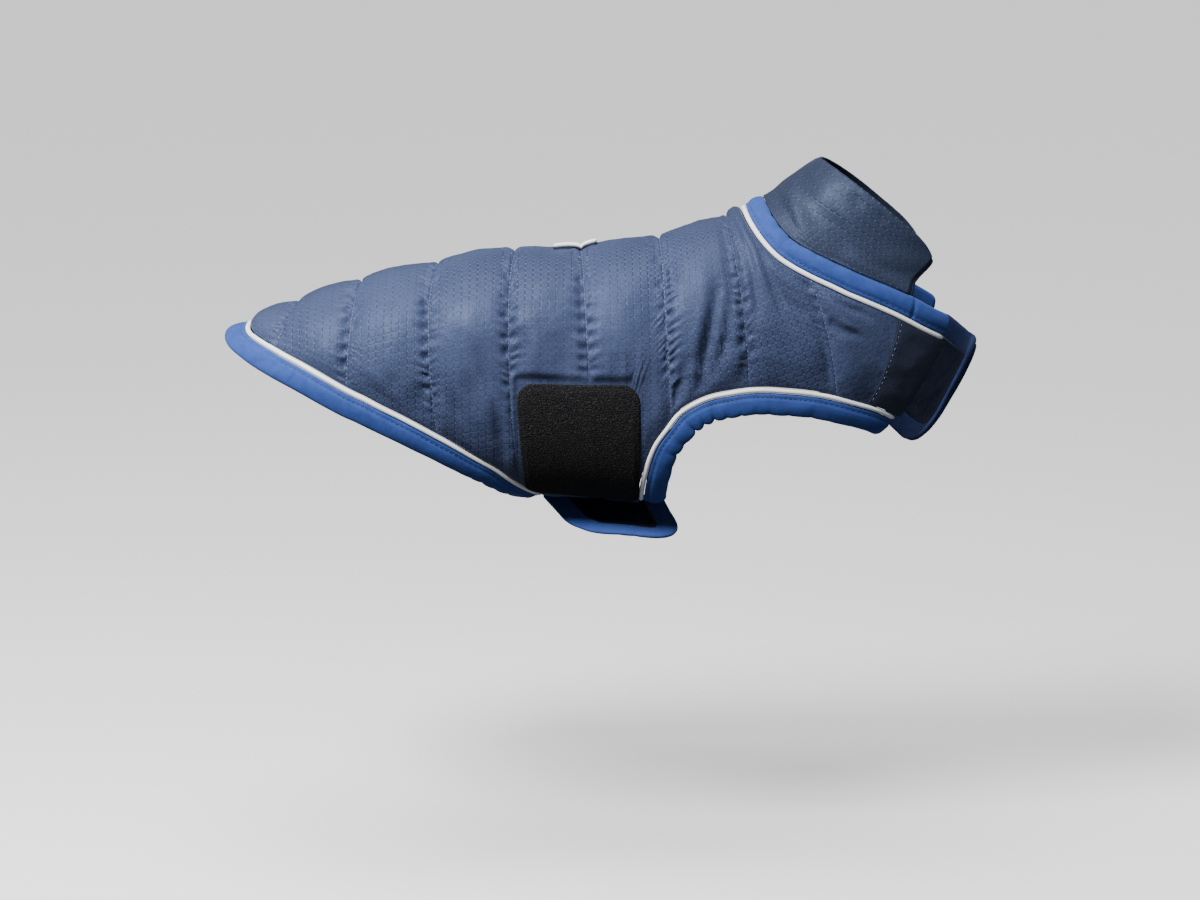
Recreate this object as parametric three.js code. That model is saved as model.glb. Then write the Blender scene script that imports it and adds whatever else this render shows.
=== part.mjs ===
import * as THREE from 'three';

// Quilted winter coat for a small dog, in millimetres, held in its worn shape with no wearer.
// X runs toward the head, Y toward the dog's left and Z up from the origin on the spine.
// A place on the coat is [along, girth]: millimetres along the flank from the rump, then
// degrees round the body from the spine, positive on the left and negative on the right.

// Driving sizes
const CLOTH = 1.5;
const TAB_CLOTH = 2;
const COLLAR_CLOTH = 2.6;
const PATCH_CLOTH = 1.6;
const SEAM_GAP = 0.3;
const EDGE_GAP = 0.5;
const FLAP_GAP = 0.9;
const PIPING_RADIUS = 1.6;
const PIPING_RISE = 1.1;
const BINDING_WIDTH = 14;
const NECK_BINDING_WIDTH = 12.5;
const PUFF_ON_BACK = 4.2;
const PUFF_ON_FLANK = 2.6;
const PUFF_EDGE_FADE = 16;
const SQUARENESS = 0.035;

// Worn form from the rump to the collar rim.
// Columns: top x, top z, bottom x, bottom z, half width, share of the height at the widest line
const FORM_SECTIONS = [
  [-190, -52.5, -181, -136, 38, 0.45],
  [-169, -45, -164, -149, 46, 0.45],
  [-141, -34, -140, -154, 53, 0.45],
  [-101, -20.5, -102, -156, 58, 0.45],
  [-51, -9, -51, -155.5, 61, 0.45],
  [0, 0, 0, -154.5, 63, 0.46],
  [46, 1.5, 47, -156.5, 64, 0.47],
  [94, 8.5, 99, -161.5, 63, 0.48],
  [122, 16.5, 143, -162, 61, 0.48],
  [138, 23, 185, -150, 59, 0.48],
  [148, 29.5, 229, -127.5, 56, 0.48],
  [155.5, 33.5, 263, -99.5, 53, 0.48],
  [161, 36, 293, -46.5, 50, 0.48],
  [166.5, 39.5, 287, -30.5, 48, 0.5],
  [184.5, 53.5, 286, -17, 46, 0.5],
  [202, 64, 283, -4, 45, 0.5],
];

// Edge of the quilted cape from the tail down to the belly, columns: along, girth
const HEM_EDGE = [
  [20.1, 0], [20.2, 11.5], [21.3, 21], [24.2, 29.2], [31.3, 40.3], [42.6, 52.7], [55.4, 63.4],
  [71, 75.1], [86.5, 85.5], [102.7, 94], [118.4, 101.1], [133.9, 108.3], [149.6, 115.8],
  [164.6, 123.7], [177.6, 130.9], [186.6, 138.4], [194, 144.9], [201.5, 151.9], [208, 158.5],
];

// Edge round the leg opening from the belly to the chest, columns: along, girth
const LEG_EDGE = [
  [266.8, 158.5], [266, 151.6], [266.6, 139.4], [268.7, 129.2], [271.4, 120.9], [275.6, 113.8],
  [282.5, 107.2], [290.3, 100.9], [301.6, 96.9], [312.8, 95], [326, 94.7], [337.8, 96.2],
  [352.3, 100.2], [365.4, 105.7], [376.4, 112.6], [385.2, 120.9], [392.8, 131.7], [396.8, 145.1],
];

// Edge at the neck from the spine to the chest, columns: along, girth
const NECK_EDGE = [
  [373, 0], [373, 8.5], [373, 21.5], [375.3, 33.5], [379.3, 43.2], [385.4, 52.4],
  [393.2, 60.4], [400.8, 67.8], [409.2, 77], [414.9, 86.3], [419.6, 95.5], [422.8, 104.3],
  [424.6, 111.6], [425.8, 119.4], [427, 128], [427.8, 135],
];

// Main rows of the cape, each from the spine or neck edge out to the hem, belly or leg edge.
// Columns: start along, start girth, end along, end girth, quilt channel, bow toward the head,
// crowding of the columns toward the end, rows up to the next main row
const CAPE_ROWS = [
  [20.1, 0, 24.2, 29.2, 0, -1.5, 1, 5],
  [50, 0, 37.8, 47.5, 1, 1.5, 1, 5],
  [89.2, 0, 83, 83.2, 2, 0, 1, 6],
  [140.5, 0, 140.2, 111.3, 3, -5, 1, 6],
  [189.2, 0, 192, 143.2, 4, -5, 0.83, 2],
  [208, 0, 208, 158.5, 4.45, -3, 1, 3],
  [231.2, 0, 243, 158.5, 5, -1.5, 1, 3],
  [263, 0, 266.8, 158.5, 5.63, -2.5, 1, 8],
  [283.3, 0, 287, 103.6, 6, 0, 1, 6],
  [348.3, 0, 335, 95.8, 7, 2, 1, 2],
  [373, 0, 350, 99.6, 7.42, 0, 1, 8],
  [402, 69, 378.8, 114.5, 8, 0, 1, 4],
  [424.4, 110, 389, 126.2, 9, 0, 1, 0],
];
const CAPE_COLUMNS = 18;

// Patch limits on the cape's right side, in channels along and columns down
const PATCH_CHANNELS = [4, 5.63];
const PATCH_COLUMNS = [10, 17];

// Slit for the leash on the spine, limits along
const SLIT_ALONG = [213, 242];
const SLIT_RADIUS = 1.4;
const SLIT_HOLLOW = { channel: 4.55, reach: 0.5, girth: 40, share: 0.65 };

// Front tabs, from the last quilt seam to the chest edge
const TAB_SEAM_ENDS = [[424.6, 111.4], [389.9, 127.4]];
const TAB_FRONT_ENDS = [[427.8, 135], [396.8, 145.1]];
const TAB_ROWS = 5;
const TAB_COLUMNS = 9;

// Open chest flap, which grows from the left tab and stands ahead of the right one
const CHEST_FLAP_END = 199;
const CHEST_FLAP_LIFT = { from: 128, to: 214, lowRise: 21, highRise: 7 };
const CHEST_FLAP_ALONG = [397.5, 427];
const CHEST_FLAP_START = [145.9, 135.8];

// Open belly flap, which grows from the left side and hangs below the belly
const BELLY_FLAP_START = 159.1;
const BELLY_FLAP_END = 201;
const BELLY_FLAP_DROP = { from: 158, to: 214, fall: 29, forward: 20 };
const BELLY_FLAP_ALONG = [209, 266];
const BELLY_FLAP_NARROWING = 14;
const FLAP_ROWS = 12;
const FLAP_COLUMNS = 9;
const FLAP_CORNER = 9;

// Standing collar above the neck binding, open at the throat
const COLLAR_RIM = [
  [471, 0], [471.4, 10.3], [472.5, 31.7], [473.4, 47.7], [474, 60.2], [474.3, 72],
  [474.3, 84.5], [474.2, 97], [473.4, 108], [470.5, 117], [465, 122.5],
];
const COLLAR_BASE_END = 112;
const COLLAR_COLUMNS = 15;
const COLLAR_ROWS = 5;

// Half outline of a rolled binding, columns: share of the width, height
const BINDING_SECTION = [
  [0, 0.4], [0, 2.2], [0.16, 3.2], [0.45, 3.7], [0.75, 3.4], [0.93, 2.6],
  [1, 1.4], [0.93, 0.2], [0.5, -0.3], [0.08, 0],
];

const NAVY = 0x2b3550;
const DEEP_NAVY = 0x1d2436;
const BINDING_BLUE = 0x2c4f96;
const FLAP_BLUE = 0x22396e;
const PIPING_WHITE = 0xeceef0;
const PATCH_BLACK = 0x141517;

const group = new THREE.Group();
group.name = 'dog_winter_coat';

// Smooth curve through a table column without overshoot between its rows
function smoothColumn(knots, values) {
  const last = knots.length - 1;
  const secants = [];
  for (let i = 0; i < last; i += 1) {
    secants.push((values[i + 1] - values[i]) / (knots[i + 1] - knots[i]));
  }
  const slopes = knots.map((knot, i) => {
    if (i === 0) {
      return secants[0];
    }
    if (i === last) {
      return secants[last - 1];
    }
    const product = secants[i - 1] * secants[i];
    return product > 0 ? (2 * product) / (secants[i - 1] + secants[i]) : 0;
  });
  return (t) => {
    let i = 0;
    while (i < last - 1 && t > knots[i + 1]) {
      i += 1;
    }
    const width = knots[i + 1] - knots[i];
    const u = THREE.MathUtils.clamp((t - knots[i]) / width, 0, 1);
    const rest = t - knots[i] - u * width;
    const smooth = u * u * (3 - 2 * u);
    const bend = slopes[i] * u * (1 - u) * (1 - u) - slopes[i + 1] * u * u * (1 - u);
    const edgeSlope = rest > 0 ? slopes[i + 1] : slopes[i];
    return values[i] + (values[i + 1] - values[i]) * smooth + bend * width + rest * edgeSlope;
  };
}

// Length of the flank line from the rump to each section
function flankLengths(sections) {
  const lengths = [0];
  const flank = sections.map(([topX, topZ, bottomX, bottomZ, , widest]) => (
    new THREE.Vector2(topX, topZ).lerp(new THREE.Vector2(bottomX, bottomZ), widest)
  ));
  for (let i = 1; i < flank.length; i += 1) {
    lengths.push(lengths[i - 1] + flank[i].distanceTo(flank[i - 1]));
  }
  return lengths;
}

const sectionLengths = flankLengths(FORM_SECTIONS);
const formColumns = FORM_SECTIONS[0].map((unused, column) => (
  smoothColumn(sectionLengths, FORM_SECTIONS.map((section) => section[column]))
));

function formPoint(along, girth) {
  const [topX, topZ, bottomX, bottomZ, halfWidth, widest] = formColumns.map((read) => read(along));
  const angle = THREE.MathUtils.degToRad(girth);
  const fullness = 1 + SQUARENESS * Math.sin(2 * angle) ** 2;
  const up = Math.cos(angle) * fullness;
  const side = Math.sin(angle) * fullness;
  const middle = new THREE.Vector2(topX, topZ).lerp(new THREE.Vector2(bottomX, bottomZ), widest);
  const reachX = up > 0 ? topX - middle.x : middle.x - bottomX;
  const reachZ = up > 0 ? topZ - middle.y : middle.y - bottomZ;
  return new THREE.Vector3(middle.x + reachX * up, halfWidth * side, middle.y + reachZ * up);
}

// Open flaps leave the body gradually with the girth
function flapShare(girth, limits) {
  return Math.max(0, (girth - limits.from) / (limits.to - limits.from));
}

function chestFlapPoint(along, girth) {
  const share = flapShare(girth, CHEST_FLAP_LIFT);
  const point = formPoint(along, girth);
  const height = THREE.MathUtils.inverseLerp(...CHEST_FLAP_ALONG, along);
  const rise = THREE.MathUtils.lerp(CHEST_FLAP_LIFT.lowRise, CHEST_FLAP_LIFT.highRise, height);
  point.x += rise * share ** 2;
  return point;
}

function bellyFlapPoint(along, girth) {
  const share = flapShare(girth, BELLY_FLAP_DROP);
  const point = formPoint(along, girth);
  point.x += BELLY_FLAP_DROP.forward * share;
  point.z -= BELLY_FLAP_DROP.fall * share ** 1.6;
  return point;
}

// Directions of a surface at a place: along it, round it and out of it
function directions(surface, along, girth) {
  const step = 0.5;
  const forward = surface(along + step, girth).sub(surface(along - step, girth));
  const round = surface(along, girth + step).sub(surface(along, girth - step));
  forward.divideScalar(2 * step);
  round.divideScalar(2 * step);
  const out = new THREE.Vector3().crossVectors(forward, round).normalize();
  return { forward, round, out };
}

function lifted(surface, along, girth, height) {
  const { out } = directions(surface, along, girth);
  return surface(along, girth).addScaledVector(out, height);
}

// Place reached by walking over a surface in a given direction
function walk(surface, place, heading, distance) {
  const strides = 4;
  let [along, girth] = place;
  for (let i = 0; i < strides; i += 1) {
    const { forward, round } = directions(surface, along, girth);
    const ff = forward.dot(forward);
    const fr = forward.dot(round);
    const rr = round.dot(round);
    const fh = forward.dot(heading);
    const rh = round.dot(heading);
    const spread = ff * rr - fr * fr;
    const stepAlong = (fh * rr - rh * fr) / spread;
    const stepRound = (rh * ff - fh * fr) / spread;
    const moved = forward.multiplyScalar(stepAlong).addScaledVector(round, stepRound);
    const scale = distance / strides / moved.length();
    along += stepAlong * scale;
    girth += stepRound * scale;
  }
  return [along, girth];
}

function material(colour, roughness) {
  return new THREE.MeshStandardMaterial({ color: colour, roughness, metalness: 0 });
}

function addMesh(name, positions, indices, colour, roughness) {
  const geometry = new THREE.BufferGeometry();
  geometry.setAttribute('position', new THREE.Float32BufferAttribute(positions, 3));
  geometry.setIndex(indices);
  geometry.computeVertexNormals();
  const mesh = new THREE.Mesh(geometry, material(colour, roughness));
  mesh.name = name;
  group.add(mesh);
}

// Wall of cloth with an outer and an inner face, closed round every free edge
class ClothWall {
  constructor() {
    this.outer = [];
    this.inner = [];
    this.faces = [];
    this.known = new Map();
  }

  vertex(outer, inner) {
    const key = outer.toArray().map((value) => value.toFixed(3)).join(' ');
    if (!this.known.has(key)) {
      this.known.set(key, this.outer.length);
      this.outer.push(outer);
      this.inner.push(inner);
    }
    return this.known.get(key);
  }

  addGrid(rows, mirrored, keep = () => true) {
    const ids = rows.map((row) => row.map(([outer, inner]) => this.vertex(outer, inner)));
    for (let r = 0; r < ids.length - 1; r += 1) {
      for (let c = 0; c < ids[r].length - 1; c += 1) {
        if (keep(r, c)) {
          this.addFace([ids[r][c], ids[r + 1][c], ids[r + 1][c + 1], ids[r][c + 1]], mirrored);
        }
      }
    }
    return ids;
  }

  addFace(corners, mirrored) {
    this.faces.push(mirrored ? [...corners].reverse() : corners);
  }

  build(name, colour, roughness) {
    const count = this.outer.length;
    const edges = new Set();
    const indices = [];
    const fan = (corners) => {
      for (let i = 1; i < corners.length - 1; i += 1) {
        indices.push(corners[0], corners[i], corners[i + 1]);
      }
    };
    this.faces.forEach((face) => {
      const [first, ...others] = face;
      fan(face);
      fan([first, ...others.reverse()].map((id) => id + count));
      face.forEach((id, i) => edges.add(`${id} ${face[(i + 1) % face.length]}`));
    });
    edges.forEach((edge) => {
      const [from, to] = edge.split(' ').map(Number);
      if (!edges.has(`${to} ${from}`)) {
        fan([to, from, from + count, to + count]);
      }
    });
    const positions = [...this.outer, ...this.inner].flatMap((point) => point.toArray());
    addMesh(name, positions, indices, colour, roughness);
  }
}

// Smooth line on the cloth through a table of places
function clothLine(places) {
  return new THREE.SplineCurve(places.map(([along, girth]) => new THREE.Vector2(along, girth)));
}

function straightLine(from, to) {
  return new THREE.LineCurve(new THREE.Vector2(...from), new THREE.Vector2(...to));
}

function joinedLine(parts) {
  const line = new THREE.CurvePath();
  parts.forEach((part) => line.add(part));
  return line;
}

// Share of a line's length at its nearest point to a place
function shareAt(line, place) {
  const target = new THREE.Vector2(...place);
  let best = 0;
  let window = 1;
  for (let pass = 0; pass < 3; pass += 1) {
    const steps = 120;
    const start = best - window / 2;
    const middle = pass === 0 ? 0 : start;
    const shares = Array.from({ length: steps + 1 }, (unused, i) => (
      THREE.MathUtils.clamp(middle + (window * i) / steps, 0, 1)
    ));
    const distances = shares.map((share) => line.getPointAt(share).distanceTo(target));
    best = shares[distances.indexOf(Math.min(...distances))];
    window = (window * 4) / steps;
  }
  return best;
}

function mirroredPlaces(places) {
  return places.map(([along, girth]) => [along, -girth]);
}

function lerpPlace(from, to, share) {
  return [
    THREE.MathUtils.lerp(from[0], to[0], share),
    THREE.MathUtils.lerp(from[1], to[1], share),
  ];
}

// Rows between the main rows of the cape, with their ends held on the cape's edges
function capeRows() {
  const spine = straightLine(HEM_EDGE[0], NECK_EDGE[0]);
  const startLine = joinedLine([spine, clothLine(NECK_EDGE)]);
  const hem = clothLine(HEM_EDGE.slice(3));
  const belly = straightLine(HEM_EDGE.at(-1), LEG_EDGE[0]);
  const endLine = joinedLine([hem, belly, clothLine(LEG_EDGE)]);
  const main = CAPE_ROWS.map((columns) => {
    const [startAlong, startGirth, endAlong, endGirth, channel, bow, crowding, count] = columns;
    return {
      start: shareAt(startLine, [startAlong, startGirth]),
      end: shareAt(endLine, [endAlong, endGirth]),
      channel,
      bow,
      crowding,
      count,
    };
  });
  const rows = [];
  main.slice(0, -1).forEach((row, i) => {
    const next = main[i + 1];
    for (let k = 0; k < row.count; k += 1) {
      rows.push([row, next, k / row.count]);
    }
  });
  rows.push([main.at(-2), main.at(-1), 1]);
  return rows.map(([row, next, share]) => ({
    start: startLine.getPointAt(THREE.MathUtils.lerp(row.start, next.start, share)).toArray(),
    end: endLine.getPointAt(THREE.MathUtils.lerp(row.end, next.end, share)).toArray(),
    channel: THREE.MathUtils.lerp(row.channel, next.channel, share),
    bow: THREE.MathUtils.lerp(row.bow, next.bow, share),
    crowding: THREE.MathUtils.lerp(row.crowding, next.crowding, share),
  }));
}

// Quilt height: none on the seams and edges, fullest between them, hollow by the slit
function puff(row, girth, toEnd, toStart) {
  const rise = Math.abs(Math.sin(Math.PI * row.channel)) ** 0.7;
  const low = THREE.MathUtils.smoothstep(girth, 55, 125);
  const full = THREE.MathUtils.lerp(PUFF_ON_BACK, PUFF_ON_FLANK, low);
  const bySlit = Math.max(0, 1 - Math.abs(row.channel - SLIT_HOLLOW.channel) / SLIT_HOLLOW.reach);
  const hollow = SLIT_HOLLOW.share * bySlit * Math.max(0, 1 - girth / SLIT_HOLLOW.girth);
  const atNeck = row.channel >= 7.4;
  const edge = Math.min(toEnd, atNeck ? toStart : toEnd, PUFF_EDGE_FADE) / PUFF_EDGE_FADE;
  return full * rise * (1 - hollow) * Math.sqrt(Math.max(0, edge));
}

function capeGrid(rows, side) {
  return rows.map((row) => {
    const places = [];
    for (let c = 0; c <= CAPE_COLUMNS; c += 1) {
      const share = (c / CAPE_COLUMNS) ** row.crowding;
      const [along, girth] = lerpPlace(row.start, row.end, share);
      places.push([along + row.bow * 4 * share * (1 - share), girth]);
    }
    const points = places.map(([along, girth]) => formPoint(along, girth * side));
    const length = points.reduce((sum, point, i) => (
      i === 0 ? 0 : sum + point.distanceTo(points[i - 1])
    ), 0);
    return places.map(([along, girth], c) => {
      const share = (c / CAPE_COLUMNS) ** row.crowding;
      const rise = puff(row, girth, length * (1 - share), length * share);
      return [lifted(formPoint, along, girth * side, CLOTH + rise), points[c]];
    });
  });
}

const rows = capeRows();
const rightCape = capeGrid(rows, -1);
const leftCape = capeGrid(rows, 1);
const cape = new ClothWall();
cape.addGrid(leftCape, false);
cape.addGrid(rightCape, true);
cape.build('back_panel', NAVY, 0.6);

// Loop patch, lifted off the cape's own points, with its corners cut
function buildPatch() {
  const first = rows.findIndex((row) => row.channel > PATCH_CHANNELS[0] - 0.01);
  const last = rows.findIndex((row) => row.channel > PATCH_CHANNELS[1] + 0.05) - 1;
  const patchRows = rightCape.slice(first, last + 1).map((row) => (
    row.slice(PATCH_COLUMNS[0], PATCH_COLUMNS[1] + 1).map(([outer, inner]) => {
      const out = new THREE.Vector3().subVectors(outer, inner).normalize();
      return [
        outer.clone().addScaledVector(out, EDGE_GAP + PATCH_CLOTH),
        outer.clone().addScaledVector(out, EDGE_GAP),
      ];
    })
  ));
  const lastRow = patchRows.length - 2;
  const lastColumn = patchRows[0].length - 2;
  const pullIn = (corner, inward) => {
    corner.forEach((point, i) => point.lerp(inward[i], 0.35));
  };
  pullIn(patchRows[lastRow + 1][0], patchRows[lastRow][1]);
  pullIn(patchRows[0][lastColumn + 1], patchRows[1][lastColumn]);
  const isCut = (r, c) => (r === 0 && c === 0) || (r === lastRow && c === lastColumn);
  const patch = new ClothWall();
  const ids = patch.addGrid(patchRows, true, (r, c) => !isCut(r, c));
  patch.addFace([ids[1][0], ids[1][1], ids[0][1]], true);
  const [lastId, nextId] = [ids[lastRow], ids[lastRow + 1]];
  patch.addFace([lastId[lastColumn], nextId[lastColumn], lastId[lastColumn + 1]], true);
  patch.build('loop_patch', PATCH_BLACK, 0.95);
}
buildPatch();

// Sweeps a closed section along stations, each a function from across and height to a point
function buildSweep(name, stations, section, colour, roughness) {
  const positions = [];
  const indices = [];
  const size = section.length;
  stations.forEach((station) => {
    section.forEach(([across, height]) => positions.push(...station(across, height).toArray()));
  });
  for (let r = 0; r < stations.length - 1; r += 1) {
    for (let c = 0; c < size; c += 1) {
      const a = r * size + c;
      const b = r * size + ((c + 1) % size);
      indices.push(a, b + size, b, a, a + size, b + size);
    }
  }
  const end = (stations.length - 1) * size;
  for (let c = 1; c < size - 1; c += 1) {
    indices.push(0, c, c + 1);
    indices.push(end, end + c + 1, end + c);
  }
  addMesh(name, positions, indices, colour, roughness);
}

// Stations along an edge of the cloth; across is measured over the surface beyond the edge
function edgeStations(surface, line, count, from = 0, to = 1) {
  const spread = (to - from) / count;
  const places = [];
  for (let i = 0; i <= count; i += 1) {
    places.push(line.getPointAt(from + spread * i).toArray());
  }
  const points = places.map((place) => surface(...place));
  const lengths = [0];
  points.slice(1).forEach((point, i) => lengths.push(lengths[i] + point.distanceTo(points[i])));
  const total = lengths.at(-1);
  return places.map((place, i) => {
    const before = points[Math.max(0, i - 1)];
    const after = points[Math.min(count, i + 1)];
    const tangent = new THREE.Vector3().subVectors(after, before).normalize();
    const { out } = directions(surface, ...place);
    const beyond = new THREE.Vector3().crossVectors(out, tangent);
    const toEnd = Math.min(lengths[i], total - lengths[i]);
    return { place, beyond, toEnd, surface };
  });
}

function stationPoint({ place, beyond, surface }, across, height) {
  const reached = walk(surface, place, beyond, across);
  return lifted(surface, reached[0], reached[1], height);
}

function pipingSection() {
  const sides = 6;
  return Array.from({ length: sides }, (unused, i) => {
    const angle = (2 * Math.PI * i) / sides;
    return [-PIPING_RADIUS * Math.cos(angle), PIPING_RADIUS * Math.sin(angle)];
  });
}

function buildPiping(name, edge) {
  const centre = EDGE_GAP + PIPING_RADIUS;
  const stations = edge.map((station) => (across, height) => (
    stationPoint(station, centre + across, PIPING_RISE + height)
  ));
  buildSweep(name, stations, pipingSection(), PIPING_WHITE, 0.45);
}

// Rolled binding; its free corners are rounded where it ends
function buildBinding(name, edge, width, colour, startGap) {
  const roundness = 5;
  const stations = edge.map((station) => {
    const short = Math.max(0, roundness - station.toEnd);
    const trimmed = width - roundness + Math.sqrt(roundness ** 2 - short ** 2);
    return (share, height) => stationPoint(station, startGap + share * trimmed, height);
  });
  buildSweep(name, stations, BINDING_SECTION, colour, 0.85);
}

// Hem, from the right side of the belly round the tail to the left side
const hemPlaces = [...mirroredPlaces(HEM_EDGE).reverse(), ...HEM_EDGE.slice(1)];
const bindingGap = EDGE_GAP + 2 * PIPING_RADIUS + SEAM_GAP;
const hemEdge = edgeStations(formPoint, clothLine(hemPlaces), 54, 0.006, 0.994);
buildPiping('hem_piping', hemEdge);
buildBinding('hem_binding', hemEdge, BINDING_WIDTH, BINDING_BLUE, bindingGap);

// Leg openings
const rightLegLine = clothLine(mirroredPlaces(LEG_EDGE).reverse());
const rightLegEdge = edgeStations(formPoint, rightLegLine, 26, 0.015, 0.97);
buildPiping('leg_piping_right', rightLegEdge);
buildBinding('leg_binding_right', rightLegEdge, BINDING_WIDTH, BINDING_BLUE, bindingGap);
const leftLegLine = clothLine(LEG_EDGE);
const leftLegEdge = edgeStations(formPoint, leftLegLine, 26, 0.03, 0.985);
buildPiping('leg_piping_left', leftLegEdge);
buildBinding('leg_binding_left', leftLegEdge, BINDING_WIDTH, BINDING_BLUE, bindingGap);

// Neck seam
const neckPlaces = [...[...NECK_EDGE].reverse(), ...mirroredPlaces(NECK_EDGE).slice(1)];
const neckLine = clothLine(neckPlaces);
const neckEdge = edgeStations(formPoint, neckLine, 40, 0.004, 0.996);
buildPiping('neck_piping', neckEdge);
buildBinding('neck_binding', neckEdge, NECK_BINDING_WIDTH, BINDING_BLUE, bindingGap);

// Tab grid between two ends that lie on the neck and leg edges
function tabGrid(surface, side, from, to, rowCount, heights) {
  const neck = clothLine(NECK_EDGE);
  const leg = clothLine(LEG_EDGE);
  const neckShares = [shareAt(neck, from[0]), shareAt(neck, to[0])];
  const legShares = [shareAt(leg, from[1]), shareAt(leg, to[1])];
  const grid = [];
  for (let r = 0; r <= rowCount; r += 1) {
    const share = r / rowCount;
    const top = neck.getPointAt(THREE.MathUtils.lerp(...neckShares, share)).toArray();
    const low = leg.getPointAt(THREE.MathUtils.lerp(...legShares, share)).toArray();
    const row = [];
    for (let c = 0; c <= TAB_COLUMNS; c += 1) {
      const [along, girth] = lerpPlace(top, low, c / TAB_COLUMNS);
      row.push([
        lifted(surface, along, girth * side, heights),
        surface(along, girth * side),
      ]);
    }
    grid.push(row);
  }
  return grid;
}

const rightTab = new ClothWall();
rightTab.addGrid(
  tabGrid(formPoint, -1, TAB_SEAM_ENDS, TAB_FRONT_ENDS, TAB_ROWS, TAB_CLOTH),
  true,
);
rightTab.build('chest_tab_right', NAVY, 0.6);

// Free flap: a grid between two alongs that runs round the girth and ends in rounded corners
function flapGrid(surface, alongRange, starts, end, thickness) {
  const grid = [];
  for (let r = 0; r <= FLAP_ROWS; r += 1) {
    const row = [];
    for (let c = 0; c <= FLAP_COLUMNS; c += 1) {
      const start = THREE.MathUtils.lerp(starts[1], starts[0], c / FLAP_COLUMNS);
      const girth = THREE.MathUtils.lerp(start, end, r / FLAP_ROWS);
      const short = Math.max(0, 1 - (end - girth) / FLAP_CORNER);
      const inset = FLAP_CORNER * (1 - Math.sqrt(1 - short ** 2)) * 0.8;
      const [low, high] = alongRange(girth);
      const along = THREE.MathUtils.lerp(high - inset, low + inset, c / FLAP_COLUMNS);
      row.push([lifted(surface, along, girth, thickness), surface(along, girth)]);
    }
    grid.push(row);
  }
  return grid;
}

// Line round the free sides of a flap, from its low side past the end to its high side
function flapLine(alongRange, starts, end) {
  const cut = FLAP_CORNER * 0.8;
  const [low, high] = alongRange(end);
  const [lowSide, highSide] = starts.map((start) => (
    [start, (start + end - FLAP_CORNER) / 2, end - FLAP_CORNER]
  ));
  return clothLine([
    ...lowSide.map((girth) => [alongRange(girth)[0], girth]),
    [low + cut * 0.3, end - FLAP_CORNER * 0.3],
    [low + cut, end],
    [(low + high) / 2, end],
    [high - cut, end],
    [high - cut * 0.3, end - FLAP_CORNER * 0.3],
    ...highSide.reverse().map((girth) => [alongRange(girth)[1], girth]),
  ]);
}

// Chest flap: the left tab and its free end across the chest
const leftTab = new ClothWall();
leftTab.addGrid(
  tabGrid(chestFlapPoint, 1, TAB_SEAM_ENDS, TAB_FRONT_ENDS, TAB_ROWS, TAB_CLOTH),
  false,
);
leftTab.build('chest_tab_left', NAVY, 0.6);
const chestRange = () => CHEST_FLAP_ALONG;
const chestFlap = new ClothWall();
chestFlap.addGrid(
  flapGrid(chestFlapPoint, chestRange, CHEST_FLAP_START, CHEST_FLAP_END, TAB_CLOTH),
  false,
);
chestFlap.build('chest_flap', DEEP_NAVY, 0.75);
const chestBindingStarts = CHEST_FLAP_START.map((girth) => girth + 3);
const chestLine = flapLine(chestRange, chestBindingStarts, CHEST_FLAP_END);
const chestEdge = edgeStations(chestFlapPoint, chestLine, 24);
buildBinding('chest_flap_binding', chestEdge, BINDING_WIDTH, FLAP_BLUE, FLAP_GAP);

// Belly flap: from the left side's lower edge past the belly
function bellyRange(girth) {
  const share = THREE.MathUtils.inverseLerp(BELLY_FLAP_START, BELLY_FLAP_END, girth);
  return [BELLY_FLAP_ALONG[0] + BELLY_FLAP_NARROWING * share, BELLY_FLAP_ALONG[1]];
}
const bellyStarts = [BELLY_FLAP_START, BELLY_FLAP_START];
const bellyFlap = new ClothWall();
bellyFlap.addGrid(
  flapGrid(bellyFlapPoint, bellyRange, bellyStarts, BELLY_FLAP_END, TAB_CLOTH),
  false,
);
bellyFlap.build('belly_flap', DEEP_NAVY, 0.75);
const bellyBindingStarts = bellyStarts.map((girth) => girth + 8);
const bellyLine = flapLine(bellyRange, bellyBindingStarts, BELLY_FLAP_END);
const bellyEdge = edgeStations(bellyFlapPoint, bellyLine, 24);
buildBinding('belly_flap_binding', bellyEdge, BINDING_WIDTH, FLAP_BLUE, FLAP_GAP);

// Standing collar
function buildCollar() {
  const rim = clothLine(COLLAR_RIM);
  const reach = bindingGap + NECK_BINDING_WIDTH + SEAM_GAP;
  const collar = new ClothWall();
  [1, -1].forEach((side) => {
    const edge = edgeStations(formPoint, clothLine(mirroredPlaces(NECK_EDGE)), 60);
    const base = edge.map((station) => (
      station.toEnd === 0 && station.place[1] === 0
        ? walk(formPoint, station.place, new THREE.Vector3(1, 0, 1), reach)
        : walk(formPoint, station.place, station.beyond, reach)
    ));
    const girths = base.map(([, girth]) => -girth);
    const columns = [];
    for (let c = 0; c <= COLLAR_COLUMNS; c += 1) {
      const girth = (COLLAR_BASE_END * c) / COLLAR_COLUMNS;
      const i = Math.max(1, girths.findIndex((value) => value >= girth));
      const share = (girth - girths[i - 1]) / (girths[i] - girths[i - 1]);
      const from = c === 0 ? [base[0][0], 0] : [
        THREE.MathUtils.lerp(base[i - 1][0], base[i][0], share),
        girth,
      ];
      const to = rim.getPointAt(c / COLLAR_COLUMNS).toArray();
      const column = [];
      for (let r = 0; r <= COLLAR_ROWS; r += 1) {
        const [along, around] = lerpPlace(from, to, r / COLLAR_ROWS);
        column.push([
          lifted(formPoint, along, around * side, COLLAR_CLOTH),
          formPoint(along, around * side),
        ]);
      }
      columns.push(column);
    }
    collar.addGrid(columns, side === 1);
  });
  collar.build('collar', NAVY, 0.65);
}
buildCollar();

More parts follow.
